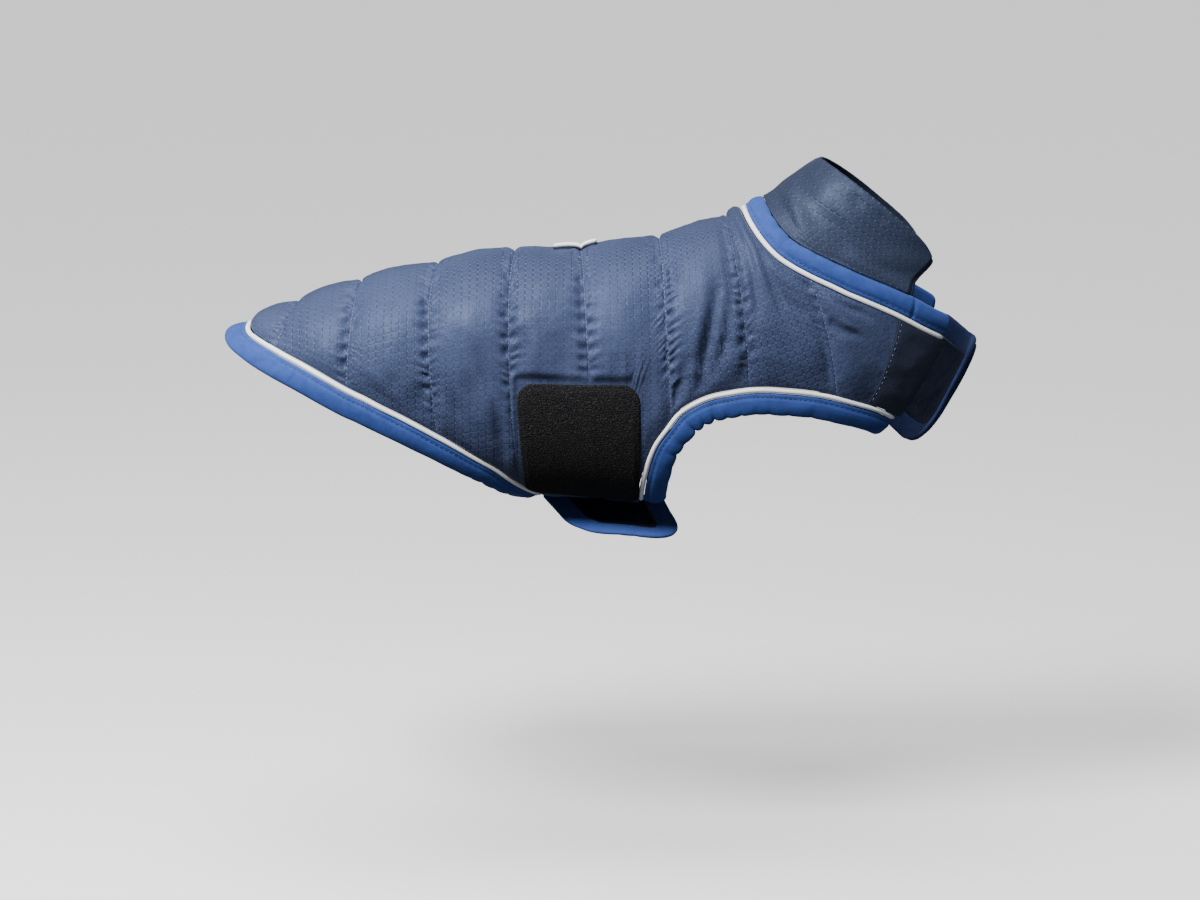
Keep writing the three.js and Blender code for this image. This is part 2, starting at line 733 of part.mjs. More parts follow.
// Leash slit: a piped lip on the spine beside a dark strip
function ridgePoint(along) {
  const i = Math.max(1, rows.findIndex((row) => row.start[0] >= along));
  const share = THREE.MathUtils.inverseLerp(rows[i - 1].start[0], rows[i].start[0], along);
  return leftCape[i - 1][0][0].clone().lerp(leftCape[i][0][0], share);
}

function buildSlit() {
  const steps = 6;
  const path = Array.from({ length: steps + 1 }, (unused, i) => (
    ridgePoint(THREE.MathUtils.lerp(...SLIT_ALONG, i / steps))
  ));
  const atSide = (shift) => path.map((point) => (across, height) => (
    point.clone().add(new THREE.Vector3(0, across + shift, EDGE_GAP + height))
  ));
  const sides = 6;
  const round = Array.from({ length: sides }, (unused, i) => {
    const angle = (2 * Math.PI * i) / sides;
    return [-SLIT_RADIUS * Math.cos(angle), SLIT_RADIUS * (1 + Math.sin(angle))];
  });
  const flat = [[-1.2, 0], [-1.2, 0.8], [1.2, 0.8], [1.2, 0]];
  buildSweep('leash_slit_lip', atSide(2), round, PIPING_WHITE, 0.45);
  buildSweep('leash_slit_strip', atSide(-1.8), flat, PATCH_BLACK, 0.9);
}
buildSlit();

export default group;
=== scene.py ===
import bisect
import math
import random

import bmesh
import bpy
from mathutils import Matrix, Vector, noise


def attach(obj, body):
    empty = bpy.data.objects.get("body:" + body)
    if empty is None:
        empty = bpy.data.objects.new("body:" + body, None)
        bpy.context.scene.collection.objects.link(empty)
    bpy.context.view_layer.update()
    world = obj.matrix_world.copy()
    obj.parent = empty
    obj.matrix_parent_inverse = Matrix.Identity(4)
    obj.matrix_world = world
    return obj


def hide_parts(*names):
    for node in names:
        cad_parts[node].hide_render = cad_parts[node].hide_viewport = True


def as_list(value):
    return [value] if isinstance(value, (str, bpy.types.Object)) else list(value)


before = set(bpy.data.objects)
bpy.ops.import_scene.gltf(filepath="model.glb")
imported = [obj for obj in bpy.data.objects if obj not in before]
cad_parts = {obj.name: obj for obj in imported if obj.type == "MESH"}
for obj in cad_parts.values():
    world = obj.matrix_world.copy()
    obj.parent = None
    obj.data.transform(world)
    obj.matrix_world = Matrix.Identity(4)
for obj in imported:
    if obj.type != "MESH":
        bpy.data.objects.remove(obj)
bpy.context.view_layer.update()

# The coat is laid out in millimetres and scaled to metres when a piece is finished.
# A place on the cloth is (along, girth): millimetres along the flank from the rump, then
# degrees round the body from the spine, positive on the left side and negative on the right.
print("worn form")

# a row for each section from the rump to the collar rim:
# top x, top z, bottom x, bottom z, half width, share of the height at the widest line
formRows = [
    (-190, -52.5, -181, -136, 38, 0.45), (-169, -45, -164, -149, 46, 0.45),
    (-141, -34, -140, -154, 53, 0.45), (-101, -20.5, -102, -156, 58, 0.45),
    (-51, -9, -51, -155.5, 61, 0.45), (0, 0, 0, -154.5, 63, 0.46),
    (46, 1.5, 47, -156.5, 64, 0.47), (94, 8.5, 99, -161.5, 63, 0.48),
    (122, 16.5, 143, -162, 61, 0.48), (138, 23, 185, -150, 59, 0.48),
    (148, 29.5, 229, -127.5, 56, 0.48), (155.5, 33.5, 263, -99.5, 53, 0.48),
    (161, 36, 293, -46.5, 50, 0.48), (166.5, 39.5, 287, -30.5, 48, 0.5),
    (184.5, 53.5, 286, -17, 46, 0.5), (202, 64, 283, -4, 45, 0.5),
]
squareness = 0.035

# edges of the cape as places, from the spine down
hemEdge = [
    (20.1, 0), (20.2, 11.5), (21.3, 21), (24.2, 29.2), (31.3, 40.3), (42.6, 52.7), (55.4, 63.4),
    (71, 75.1), (86.5, 85.5), (102.7, 94), (118.4, 101.1), (133.9, 108.3), (149.6, 115.8),
    (164.6, 123.7), (177.6, 130.9), (186.6, 138.4), (194, 144.9), (201.5, 151.9), (208, 158.5),
]
legEdge = [
    (266.8, 158.5), (266, 151.6), (266.6, 139.4), (268.7, 129.2), (271.4, 120.9), (275.6, 113.8),
    (282.5, 107.2), (290.3, 100.9), (301.6, 96.9), (312.8, 95), (326, 94.7), (337.8, 96.2),
    (352.3, 100.2), (365.4, 105.7), (376.4, 112.6), (385.2, 120.9), (392.8, 131.7), (396.8, 145.1),
]
neckEdge = [
    (373, 0), (373, 8.5), (373, 21.5), (375.3, 33.5), (379.3, 43.2), (385.4, 52.4),
    (393.2, 60.4), (400.8, 67.8), (409.2, 77), (414.9, 86.3), (419.6, 95.5), (422.8, 104.3),
    (424.6, 111.6), (425.8, 119.4), (427, 128), (427.8, 135),
]

# main rows of the cape: start place, end place, quilt channel, bow, crowding toward the end
capeRows = [
    ((20.1, 0), (24.2, 29.2), 0, -1.5, 1), ((50, 0), (37.8, 47.5), 1, 1.5, 1),
    ((89.2, 0), (83, 83.2), 2, 0, 1), ((140.5, 0), (140.2, 111.3), 3, -5, 1),
    ((189.2, 0), (192, 143.2), 4, -5, 0.83), ((208, 0), (208, 158.5), 4.45, -3, 1),
    ((231.2, 0), (243, 158.5), 5, -1.5, 1), ((263, 0), (266.8, 158.5), 5.63, -2.5, 1),
    ((283.3, 0), (287, 103.6), 6, 0, 1), ((348.3, 0), (335, 95.8), 7, 2, 1),
    ((373, 0), (350, 99.6), 7.42, 0, 1), ((402, 69), (378.8, 114.5), 8, 0, 1),
    ((424.4, 110), (389, 126.2), 9, 0, 1),
]


def steepness(knots, values):
    runs = [(b - a) / (q - p) for a, b, p, q in zip(values, values[1:], knots, knots[1:])]
    inner = [2 * a * b / (a + b) if a * b > 0 else 0 for a, b in zip(runs, runs[1:])]
    return [runs[0]] + inner + [runs[-1]]


flank = [Vector((r[0], r[1])).lerp(Vector((r[2], r[3])), r[5]) for r in formRows]
formKnots = [0.0]
for behind, ahead in zip(flank, flank[1:]):
    formKnots.append(formKnots[-1] + (ahead - behind).length)
formColumns = [[row[i] for row in formRows] for i in range(6)]
formSlopes = [steepness(formKnots, column) for column in formColumns]


def formSection(along):
    i = min(max(bisect.bisect_left(formKnots, along) - 1, 0), len(formKnots) - 2)
    width = formKnots[i + 1] - formKnots[i]
    u = min(max((along - formKnots[i]) / width, 0), 1)
    rest = along - formKnots[i] - u * width
    smooth, enter, leave = u * u * (3 - 2 * u), u * (1 - u) ** 2 * width, u * u * (1 - u) * width
    read = []
    for column, slopes in zip(formColumns, formSlopes):
        edge = slopes[i + 1] if rest > 0 else slopes[i]
        blend = column[i] + (column[i + 1] - column[i]) * smooth
        read.append(blend + slopes[i] * enter - slopes[i + 1] * leave + rest * edge)
    return read


def formPoint(along, girth):
    topX, topZ, lowX, lowZ, halfWidth, widest = formSection(along)
    turn = math.radians(girth)
    full = 1 + squareness * math.sin(2 * turn) ** 2
    up, side = math.cos(turn) * full, math.sin(turn) * full
    midX, midZ = topX + (lowX - topX) * widest, topZ + (lowZ - topZ) * widest
    reachX, reachZ = (topX - midX, topZ - midZ) if up > 0 else (midX - lowX, midZ - lowZ)
    return Vector((midX + reachX * up, halfWidth * side, midZ + reachZ * up))


def chestFlapPoint(along, girth):
    share = max(0, (girth - 128) / 86)
    height = (along - 397.5) / 29.5
    return formPoint(along, girth) + Vector(((21 - 14 * height) * share ** 2, 0, 0))


def bellyFlapPoint(along, girth):
    share = max(0, (girth - 158) / 56)
    return formPoint(along, girth) + Vector((20 * share, 0, -29 * share ** 1.6))


def directions(surface, along, girth):
    forward = surface(along + 0.5, girth) - surface(along - 0.5, girth)
    around = surface(along, girth + 0.5) - surface(along, girth - 0.5)
    return forward, around, forward.cross(around).normalized()


def lifted(surface, along, girth, height):
    return surface(along, girth) + directions(surface, along, girth)[2] * height


def smoothstep(low, high, value):
    t = min(max((value - low) / (high - low), 0), 1)
    return t * t * (3 - 2 * t)


def roundTable():
    table = []
    for along in range(0, 500, 10):
        lengths = [0.0]
        for step in range(36):
            span = formPoint(along, step * 6 + 6) - formPoint(along, step * 6)
            lengths.append(lengths[-1] + span.length)
        table.append(lengths)
    return table


roundLengths = roundTable()


def clothPlace(along, girth):    # flat place in millimetres: along, then round from the spine
    a = min(max(along / 10, 0), 48.99)
    g = min(abs(girth) / 6, 35.99)
    i, j = int(a), int(g)
    near = roundLengths[i][j] * (1 - g + j) + roundLengths[i][j + 1] * (g - j)
    far = roundLengths[i + 1][j] * (1 - g + j) + roundLengths[i + 1][j + 1] * (g - j)
    return along, math.copysign(near * (1 - a + i) + far * (a - i), girth)


class ClothLine:    # a smooth or straight line through places, read by its share of the length
    def __init__(self, places, smooth=True):
        self.places, self.lengths = [], [0.0]
        last = len(places) - 1
        for i in range(last):
            p = [Vector(places[min(max(i + k, 0), last)]) for k in (-1, 0, 1, 2)]
            steps = 24 if smooth else 1
            for k in range(steps):
                t = k / steps
                if smooth:
                    bend = (p[2] - p[0]) * t + (2 * p[0] - 5 * p[1] + 4 * p[2] - p[3]) * t * t
                    bend += (3 * p[1] - p[0] - 3 * p[2] + p[3]) * t ** 3
                    self.places.append(p[1] + bend / 2)
                else:
                    self.places.append(p[1])
        self.places.append(Vector(places[-1]))
        self.measure()

    def measure(self):
        self.lengths = [0.0]
        for a, b in zip(self.places, self.places[1:]):
            self.lengths.append(self.lengths[-1] + (b - a).length)

    def join(self, other):
        self.places += other.places[1:]
        self.measure()
        return self

    def at(self, share):
        goal = min(max(share, 0), 1) * self.lengths[-1]
        i = min(max(bisect.bisect_left(self.lengths, goal) - 1, 0), len(self.places) - 2)
        span = self.lengths[i + 1] - self.lengths[i]
        return tuple(self.places[i].lerp(self.places[i + 1], (goal - self.lengths[i]) / span))

    def shareAt(self, place):
        goal, best, found = Vector(place), 1e9, 0
        for i, (a, b) in enumerate(zip(self.places, self.places[1:])):
            span = b - a
            t = min(max((goal - a).dot(span) / max(span.dot(span), 1e-12), 0), 1)
            off = (a + span * t - goal).length
            if off < best:
                best, found = off, (self.lengths[i] + t * span.length) / self.lengths[-1]
        return found


def mirrored(places):
    return [(along, -girth) for along, girth in places]


def lerp(a, b, t):
    return a + (b - a) * t


startLine = ClothLine([hemEdge[0], neckEdge[0]], smooth=False).join(ClothLine(neckEdge))
endLine = ClothLine(hemEdge[3:]).join(ClothLine([hemEdge[-1], legEdge[0]], smooth=False))
endLine.join(ClothLine(legEdge))
rowKnots = [
    (channel, startLine.shareAt(start), endLine.shareAt(end), bow, crowding)
    for start, end, channel, bow, crowding in capeRows
]


def capeRow(channel):
    i = 0
    while i < len(rowKnots) - 2 and channel > rowKnots[i + 1][0]:
        i += 1
    a, b = rowKnots[i], rowKnots[i + 1]
    t = (channel - a[0]) / (b[0] - a[0])
    start, end, bow, crowding = (lerp(p, q, t) for p, q in zip(a[1:], b[1:]))
    return startLine.at(start), endLine.at(end), bow, crowding


def capePlace(row, column):    # column runs from 0 at the spine or neck to 1 at the lower edge
    (startAlong, startGirth), (endAlong, endGirth), bow, crowding = row
    t = column ** crowding
    return lerp(startAlong, endAlong, t) + bow * 4 * t * (1 - t), lerp(startGirth, endGirth, t)


# folds pressed into the cloth: places it runs through, half width, depth, all in mm;
# a negative depth is a ridge
def foldLines(folds):
    lines = []
    for places, width, depth in folds:
        points = [Vector(clothPlace(*place)) for place in places]
        reach = width * 2.6
        low = (min(p.x for p in points) - reach, min(p.y for p in points) - reach)
        high = (max(p.x for p in points) + reach, max(p.y for p in points) + reach)
        lines.append((points, width, depth, reach, low, high))
    return lines


def foldDepth(lines, spot):
    total = 0.0
    for points, width, depth, reach, low, high in lines:
        if not (low[0] < spot.x < high[0] and low[1] < spot.y < high[1]):
            continue
        best = None
        walked = 0.0
        for a, b in zip(points, points[1:]):
            span = b - a
            size = span.length
            t = min(max((spot - a).dot(span) / (size * size), 0), 1)
            off = (a + span * t - spot).length
            if best is None or off < best[0]:
                best = (off, walked + t * size)
            walked += size
        if best[0] < reach:
            ends = math.sin(math.pi * min(max(best[1] / walked, 0.02), 0.98)) ** 0.7
            total += depth * ends * math.exp(-((best[0] / width) ** 2))
    return total


def finishMesh(bm, name, finishes, smooth=True):
    bmesh.ops.scale(bm, vec=(0.001, 0.001, 0.001), verts=bm.verts)
    mesh = bpy.data.meshes.new(name)
    for face in bm.faces:
        face.smooth = smooth
    bm.to_mesh(mesh)
    bm.free()
    piece = bpy.data.objects.new(name, mesh)
    bpy.context.scene.collection.objects.link(piece)
    for finish in finishes:
        mesh.materials.append(finish)
    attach(piece, "root")
    return piece


def layGrid(bm, rows, columns, key, pointAt, flatAt):
    # a grid laid on the form; each vertex keeps its two shares and its key
    shares = bm.verts.layers.float_vector.get("shares") or bm.verts.layers.float_vector.new("shares")
    flat = bm.loops.layers.uv.get("cloth") or bm.loops.layers.uv.new("cloth")
    made = bmesh.ops.create_grid(bm, x_segments=rows, y_segments=columns, size=1)["verts"]
    faces = {face for vert in made for face in vert.link_faces}
    spots = {}
    for vert in made:
        a, b = round((vert.co.x + 1) / 2 * rows) / rows, round((vert.co.y + 1) / 2 * columns) / columns
        vert[shares] = (a, b, key)
        spots[vert] = flatAt(a, b)
        vert.co = pointAt(a, b)
    for face in faces:
        for loop in face.loops:
            u, v = spots[loop.vert]
            loop[flat].uv = (u * 0.001, 0.5 + v * 0.001)
    return made, faces


def clothWall(bm, innerAt):
    # gives an open sheet its inner face and closes it round every edge
    shares = bm.verts.layers.float_vector["shares"]
    made = bmesh.ops.extrude_face_region(bm, geom=list(bm.faces), use_keep_orig=True)["geom"]
    inner = [item for item in made if isinstance(item, bmesh.types.BMVert)]
    innerFaces = {item for item in made if isinstance(item, bmesh.types.BMFace)}
    for vert in inner:
        vert.co = innerAt(*vert[shares])
    bm.normal_update()
    for face in bm.faces:
        face.material_index = 1 if face in innerFaces else 0
    bmesh.ops.recalc_face_normals(bm, faces=bm.faces)
    if bm.calc_volume(signed=True) < 0:
        bmesh.ops.reverse_faces(bm, faces=bm.faces)


def edgeRails(surface, line, count, reach, start=0.0, end=1.0):
    # stations along an edge, each with points and normals at every millimetre beyond it
    places = [line.at(lerp(start, end, i / count)) for i in range(count + 1)]
    points = [surface(*place) for place in places]
    lengths = [0.0]
    for a, b in zip(points, points[1:]):
        lengths.append(lengths[-1] + (b - a).length)
    rails = []
    for i, (along, girth) in enumerate(places):
        tangent = (points[min(count, i + 1)] - points[max(0, i - 1)]).normalized()
        forward, around, out = directions(surface, along, girth)
        beyond = out.cross(tangent)
        stops = []
        for k in range(reach + 1):
            stops.append((surface(along, girth), out, (along, girth)))
            ff, fr, rr = forward.dot(forward), forward.dot(around), around.dot(around)
            fh, rh = forward.dot(beyond), around.dot(beyond)
            spread = ff * rr - fr * fr
            stepAlong, stepRound = (fh * rr - rh * fr) / spread, (rh * ff - fh * fr) / spread
            size = (forward * stepAlong + around * stepRound).length
            along, girth = along + stepAlong / size, girth + stepRound / size
            forward, around, out = directions(surface, along, girth)
        rails.append({"stops": stops, "walked": lengths[i], "total": lengths[-1]})
    return rails


def railPoint(rails, share, across, height):
    spot = min(max(share, 0), 1) * (len(rails) - 1)
    i = min(int(spot), len(rails) - 2)
    found = []
    for rail in (rails[i], rails[i + 1]):
        stops = rail["stops"]
        k = min(max(int(across), 0), len(stops) - 2)
        (a, outA, _), (b, outB, _) = stops[k], stops[k + 1]
        found.append(a.lerp(b, across - k) + outA.lerp(outB, across - k).normalized() * height)
    return found[0].lerp(found[1], spot - i)


def tube(bm, stations, sides, pointAt, lengthAt, widthAt):
    # closed section swept along stations, with both ends filled
    made, faces = layGrid(
        bm, stations, sides, 0, pointAt, lambda a, b: (lengthAt(a), widthAt(b)),
    )
    bmesh.ops.remove_doubles(bm, verts=bm.verts, dist=0.004)
    edges = [edge for edge in bm.edges if edge.is_boundary]
    bmesh.ops.holes_fill(bm, edges=edges, sides=0)
    bmesh.ops.recalc_face_normals(bm, faces=bm.faces)
    if bm.calc_volume(signed=True) < 0:
        bmesh.ops.reverse_faces(bm, faces=bm.faces)


def stitches(name, rows, size, finish):
    # rows of thread dashes: each is a point, a direction and the way out of the cloth, in mm
    bm = bmesh.new()
    for point, heading, out in rows:
        across = out.cross(heading).normalized()
        turn = Matrix((heading.normalized(), across, out)).transposed().to_4x4()
        grow = Matrix.Diagonal((size["length"] / 2, size["width"] / 2, size["height"] / 2, 1))
        place = Matrix.Translation(point + out * size["rise"]) @ turn @ grow
        bmesh.ops.create_uvsphere(bm, u_segments=6, v_segments=4, radius=1, matrix=place)
    return finishMesh(bm, name, [finish])


print("finishes")


class Reading:    # a number read from a node, which takes part in sums
    def __init__(self, finish, socket):
        self.finish, self.socket = finish, socket

    def sum(self, operation, other=None, flipped=False):
        pair = (other, self) if flipped else (self, other)
        values = {i: value for i, value in enumerate(pair) if value is not None}
        return self.finish.read("ShaderNodeMath", {"operation": operation}, values)

    def __add__(self, other):
        return self.sum("ADD", other)

    def __sub__(self, other):
        return self.sum("SUBTRACT", other)

    def __rsub__(self, other):
        return self.sum("SUBTRACT", other, flipped=True)

    def __mul__(self, other):
        return self.sum("MULTIPLY", other)

    def __truediv__(self, other):
        return self.sum("DIVIDE", other)

    def __pow__(self, other):
        return self.sum("POWER", other)

    def __abs__(self):
        return self.sum("ABSOLUTE")

    def fract(self):
        return self.sum("FRACT")

    def most(self, other):
        return self.sum("MAXIMUM", other)

    def ramp(self, low, high, start=0.0, end=1.0):
        settings = {"interpolation_type": "SMOOTHSTEP", "clamp": True}
        return self.finish.read("ShaderNodeMapRange", settings, {0: self, 1: low, 2: high, 3: start, 4: end})

    __radd__, __rmul__ = __add__, __mul__


class Finish:
    def __init__(self, name, fixed):
        self.material = bpy.data.materials.new(name)
        self.material.use_nodes = True
        self.tree = self.material.node_tree
        self.shader = self.tree.nodes["Principled BSDF"]
        for key, value in fixed.items():
            self.shader.inputs[key].default_value = value

    def node(self, kind, settings={}, inputs={}):
        made = self.tree.nodes.new(kind)
        for key, value in settings.items():
            if key == "stops":
                for element, (place, colour) in zip(made.color_ramp.elements, value):
                    element.position, element.color = place, colour
            else:
                setattr(made, key, value)
        for key, value in inputs.items():
            if isinstance(value, Reading):
                self.tree.links.new(value.socket, made.inputs[key])
            else:
                made.inputs[key].default_value = value
        return made

    def read(self, kind, settings={}, inputs={}, output=0):
        return Reading(self, self.node(kind, settings, inputs).outputs[output])

    def place(self):
        return self.read("ShaderNodeTexCoord", output="Object")

    def flat(self):    # place on the flat cloth, in metres
        parts = self.node("ShaderNodeSeparateXYZ", {}, {0: self.read("ShaderNodeTexCoord", output="UV")})
        return Reading(self, parts.outputs[0]), Reading(self, parts.outputs[1])

    def cloud(self, scale, detail=2.0, rough=0.5, place=None):
        inputs = {"Vector": place or self.place(), "Scale": scale, "Detail": detail, "Roughness": rough}
        return self.read("ShaderNodeTexNoise", {}, inputs)

    def mix(self, factor, a, b, blend="MIX"):
        settings = {"data_type": "RGBA", "blend_type": blend}
        return self.read("ShaderNodeMix", settings, {0: factor, 6: a, 7: b}, output=2)

    def bump(self, height, distance, strength=1.0, under=None):
        inputs = {"Height": height, "Distance": distance, "Strength": strength}
        if under is not None:
            inputs["Normal"] = under
        return self.read("ShaderNodeBump", {}, inputs)

    def set(self, **links):
        for key, value in links.items():
            self.tree.links.new(value.socket, self.shader.inputs[key.replace("_", " ")])
        return self.material


def shellCloth(name, settings):
    # satin woven shell with a raised check of thicker threads
    finish = Finish(name, {
        "Specular IOR Level": settings["gloss"], "Specular Tint": (0.55, 0.68, 1, 1),
        "Sheen Weight": settings["sheen"], "Sheen Roughness": 0.4, "Sheen Tint": settings["sheenTint"],
    })
    u, v = finish.flat()
    cellU, cellV = (u / settings["checkAlong"]).fract(), (v / settings["checkRound"]).fract()
    offU, offV = abs(cellU * 2 - 1), abs(cellV * 2 - 1)
    lineU, lineV = offU.ramp(0.72, 1.0), offV.ramp(0.62, 1.0)
    patchy = finish.cloud(14.0, 3.0).ramp(0.40, 0.60, 0.4, 1.0)
    knots = lineU * lineV * patchy
    threads = lineU.most(lineV * 0.55) * patchy
    grainAndGlints = finish.cloud(1500.0, 1.0, 0.6)
    creased = finish.cloud(95.0, 4.0, 0.55)
    broad = finish.cloud(9.0, 2.0)
    tone = finish.mix(broad.ramp(0.35, 0.65), settings["base"], settings["deep"])
    tone = finish.mix(lineU.most(lineV * 0.4) * patchy * 0.7, tone, settings["knot"])
    # painted highlights: the check's knots and fine specks of the grain are lightened toward the glint colour
    tone = finish.mix(knots * 0.8, tone, settings["paintedGlint"])
    tone = finish.mix(grainAndGlints.ramp(0.55, 0.75) * 0.35, tone, settings["paintedGlint"])
    relief = finish.bump(threads * -1.0 + grainAndGlints * 0.35, 0.00022, settings["weaveDepth"])
    relief = finish.bump(creased, 0.0016, settings["creaseDepth"], relief)
    rough = creased.ramp(0.3, 0.7, settings["rough"] - 0.05, settings["rough"] + 0.07)
    return finish.set(Base_Color=tone, Roughness=rough, Normal=relief)


def napCloth(name, settings):
    # soft brushed cloth of the bindings
    finish = Finish(name, {
        "Specular IOR Level": 0.12, "Sheen Weight": settings["sheen"],
        "Sheen Roughness": 0.45, "Sheen Tint": settings["sheenTint"],
    })
    fine, soft = finish.cloud(1900.0, 2.0, 0.7), finish.cloud(160.0, 4.0, 0.6)
    tone = finish.mix(soft.ramp(0.35, 0.65), settings["base"], settings["deep"])
    # painted highlights: fine specks of the nap are lightened toward the glint colour
    tone = finish.mix(fine.ramp(0.55, 0.8) * 0.4, tone, settings["paintedGlint"])
    relief = finish.bump(fine, 0.0004, 0.35)
    relief = finish.bump(soft, 0.0012, 0.2, relief)
    return finish.set(Base_Color=tone, Roughness=soft.ramp(0.3, 0.7, 0.78, 0.92), Normal=relief)


def beadCloth():
    # tight white piping
    finish = Finish("pipingWhite", {"Specular IOR Level": 0.4, "Sheen Weight": 0.15})
    u, v = finish.flat()
    weave = abs((u * 1100 + v * 700).fract() * 2 - 1)
    dirt = finish.cloud(60.0, 3.0)
    tone = finish.mix(dirt.ramp(0.4, 0.7), (0.93, 0.94, 0.95, 1), (0.82, 0.83, 0.85, 1))
    relief = finish.bump(weave, 0.00012, 0.35)
    return finish.set(Base_Color=tone, Roughness=dirt.ramp(0.3, 0.7, 0.42, 0.55), Normal=relief)


def pileCloth():
    # black loop pile in close rows
    finish = Finish("loopPile", {
        "Specular IOR Level": 0.06, "Sheen Weight": 0.05, "Sheen Roughness": 0.5,
        "Sheen Tint": (0.5, 0.5, 0.55, 1),
    })
    u, v = finish.flat()
    rows = abs((v * 620).fract() * 2 - 1)
    fuzz = finish.cloud(1100.0, 3.0, 0.75)
    tufts = finish.read("ShaderNodeTexVoronoi", {}, {"Vector": finish.place(), "Scale": 900.0})
    worn = finish.cloud(40.0, 3.0)
    tone = finish.mix(fuzz.ramp(0.45, 0.75), (0.0085, 0.0085, 0.0095, 1), (0.034, 0.034, 0.036, 1))
    # lighter specks: pale fuzz with painted highlights on the loop tips
    tone = finish.mix(finish.cloud(1700.0, 1.0).ramp(0.6, 0.7), tone, (0.060, 0.058, 0.056, 1))
    tone = finish.mix(worn.ramp(0.5, 0.75) * 0.4, tone, (0.012, 0.012, 0.014, 1))
    relief = finish.bump(tufts * -1.0 + fuzz * 1.2 + rows * 0.14, 0.0007, 0.9)
    return finish.set(Base_Color=tone, Roughness=fuzz.ramp(0.3, 0.7, 0.8, 0.95), Normal=relief)


def threadCloth(name, colour, paintedGleam):
    finish = Finish(name, {"Specular IOR Level": 0.5, "Sheen Weight": 0.2})
    twistAndGleam = finish.cloud(2200.0, 1.0)
    # painted highlights: streaks along the twist are lightened toward the gleam colour
    tone = finish.mix(twistAndGleam.ramp(0.4, 0.65), colour, paintedGleam)
    return finish.set(Base_Color=tone, Roughness=twistAndGleam.ramp(0.3, 0.7, 0.4, 0.6))


shellNavy = shellCloth("shellNavy", {
    "base": (0.044, 0.058, 0.119, 1), "deep": (0.033, 0.044, 0.091, 1), "knot": (0.012, 0.016, 0.035, 1),
    "paintedGlint": (0.125, 0.16, 0.28, 1), "gloss": 0.18, "sheen": 0.08, "sheenTint": (0.6, 0.7, 1, 1),
    "rough": 0.47, "checkAlong": 0.0049, "checkRound": 0.0042, "weaveDepth": 0.7, "creaseDepth": 0.5,
})
tabNavy = shellCloth("tabNavy", {
    "base": (0.025, 0.030, 0.052, 1), "deep": (0.019, 0.023, 0.041, 1), "knot": (0.011, 0.014, 0.026, 1),
    "paintedGlint": (0.050, 0.062, 0.10, 1), "gloss": 0.22, "sheen": 0.1, "sheenTint": (0.6, 0.7, 1, 1),
    "rough": 0.48, "checkAlong": 0.0046, "checkRound": 0.0034, "weaveDepth": 0.2, "creaseDepth": 0.25,
})
collarNavy = shellCloth("collarNavy", {
    "base": (0.027, 0.035, 0.066, 1), "deep": (0.020, 0.026, 0.049, 1), "knot": (0.010, 0.013, 0.025, 1),
    "paintedGlint": (0.08, 0.10, 0.16, 1), "gloss": 0.2, "sheen": 0.1, "sheenTint": (0.6, 0.7, 1, 1),
    "rough": 0.46, "checkAlong": 0.0046, "checkRound": 0.0046, "weaveDepth": 0.4, "creaseDepth": 0.3,
})
# near-black lining of the inner faces, also laid on the leash slit's strip as painted shade
liningNavyAndSlitShade = shellCloth("liningNavyAndSlitShade", {
    "base": (0.009, 0.011, 0.022, 1), "deep": (0.006, 0.008, 0.016, 1), "knot": (0.006, 0.008, 0.016, 1),
    "paintedGlint": (0.02, 0.026, 0.046, 1), "gloss": 0.25, "sheen": 0.06, "sheenTint": (0.6, 0.7, 1, 1),
    "rough": 0.5, "checkAlong": 0.0046, "checkRound": 0.0046, "weaveDepth": 0.1, "creaseDepth": 0.3,
})
bindingBlue = napCloth("bindingBlue", {
    "base": (0.034, 0.070, 0.265, 1), "deep": (0.028, 0.060, 0.232, 1), "paintedGlint": (0.062, 0.11, 0.33, 1),
    "sheen": 0.18, "sheenTint": (0.45, 0.6, 1, 1),
})
# a darker copy of the binding blue: painted shade on the chest flap's binding under the chest
shadedFlapBlue = napCloth("shadedFlapBlue", {
    "base": (0.014, 0.023, 0.080, 1), "deep": (0.011, 0.018, 0.066, 1), "paintedGlint": (0.024, 0.040, 0.12, 1),
    "sheen": 0.12, "sheenTint": (0.45, 0.6, 1, 1),
})
pipingWhite = beadCloth()
loopPile = pileCloth()
navyThread = threadCloth("navyThread", (0.045, 0.058, 0.105, 1), (0.19, 0.23, 0.36, 1))
blueThread = threadCloth("blueThread", (0.005, 0.011, 0.042, 1), (0.010, 0.020, 0.070, 1))


print("quilted back")
quilt = {
    "cloth": 1.5, "puffOnBack": 4.6, "puffOnFlank": 3.3, "edgeFade": 16, "neckFade": 9, "roundness": 0.46,
    "lean": 0.86, "columns": {-1: 148, 1: 98}, "patchPress": 0.93, "foldDepth": 1.9,
    # steps between rows in millimetres beside a seam, then the widest step between them
    "nearSeam": [0, 0.6, 1.4, 2.5, 3.9, 5.6, 7.6], "widest": 4.1,
    # how strongly each seam is gathered, from the rump forward
    "gathered": [0.7, 0.95, 1.05, 1.15, 1.15, 1.2, 0.8, 0.45],
    "gatherReach": 15, "gatherEnd": (98, 122), "gatherBelow": 0.22,
}
# corners of the loop patch as places: rear top, front top, rear low, front low
patchSpan = {"corners": [(190, 90.3), (267.6, 88.8), (195.5, 151), (266.8, 156)], "corner": 11}

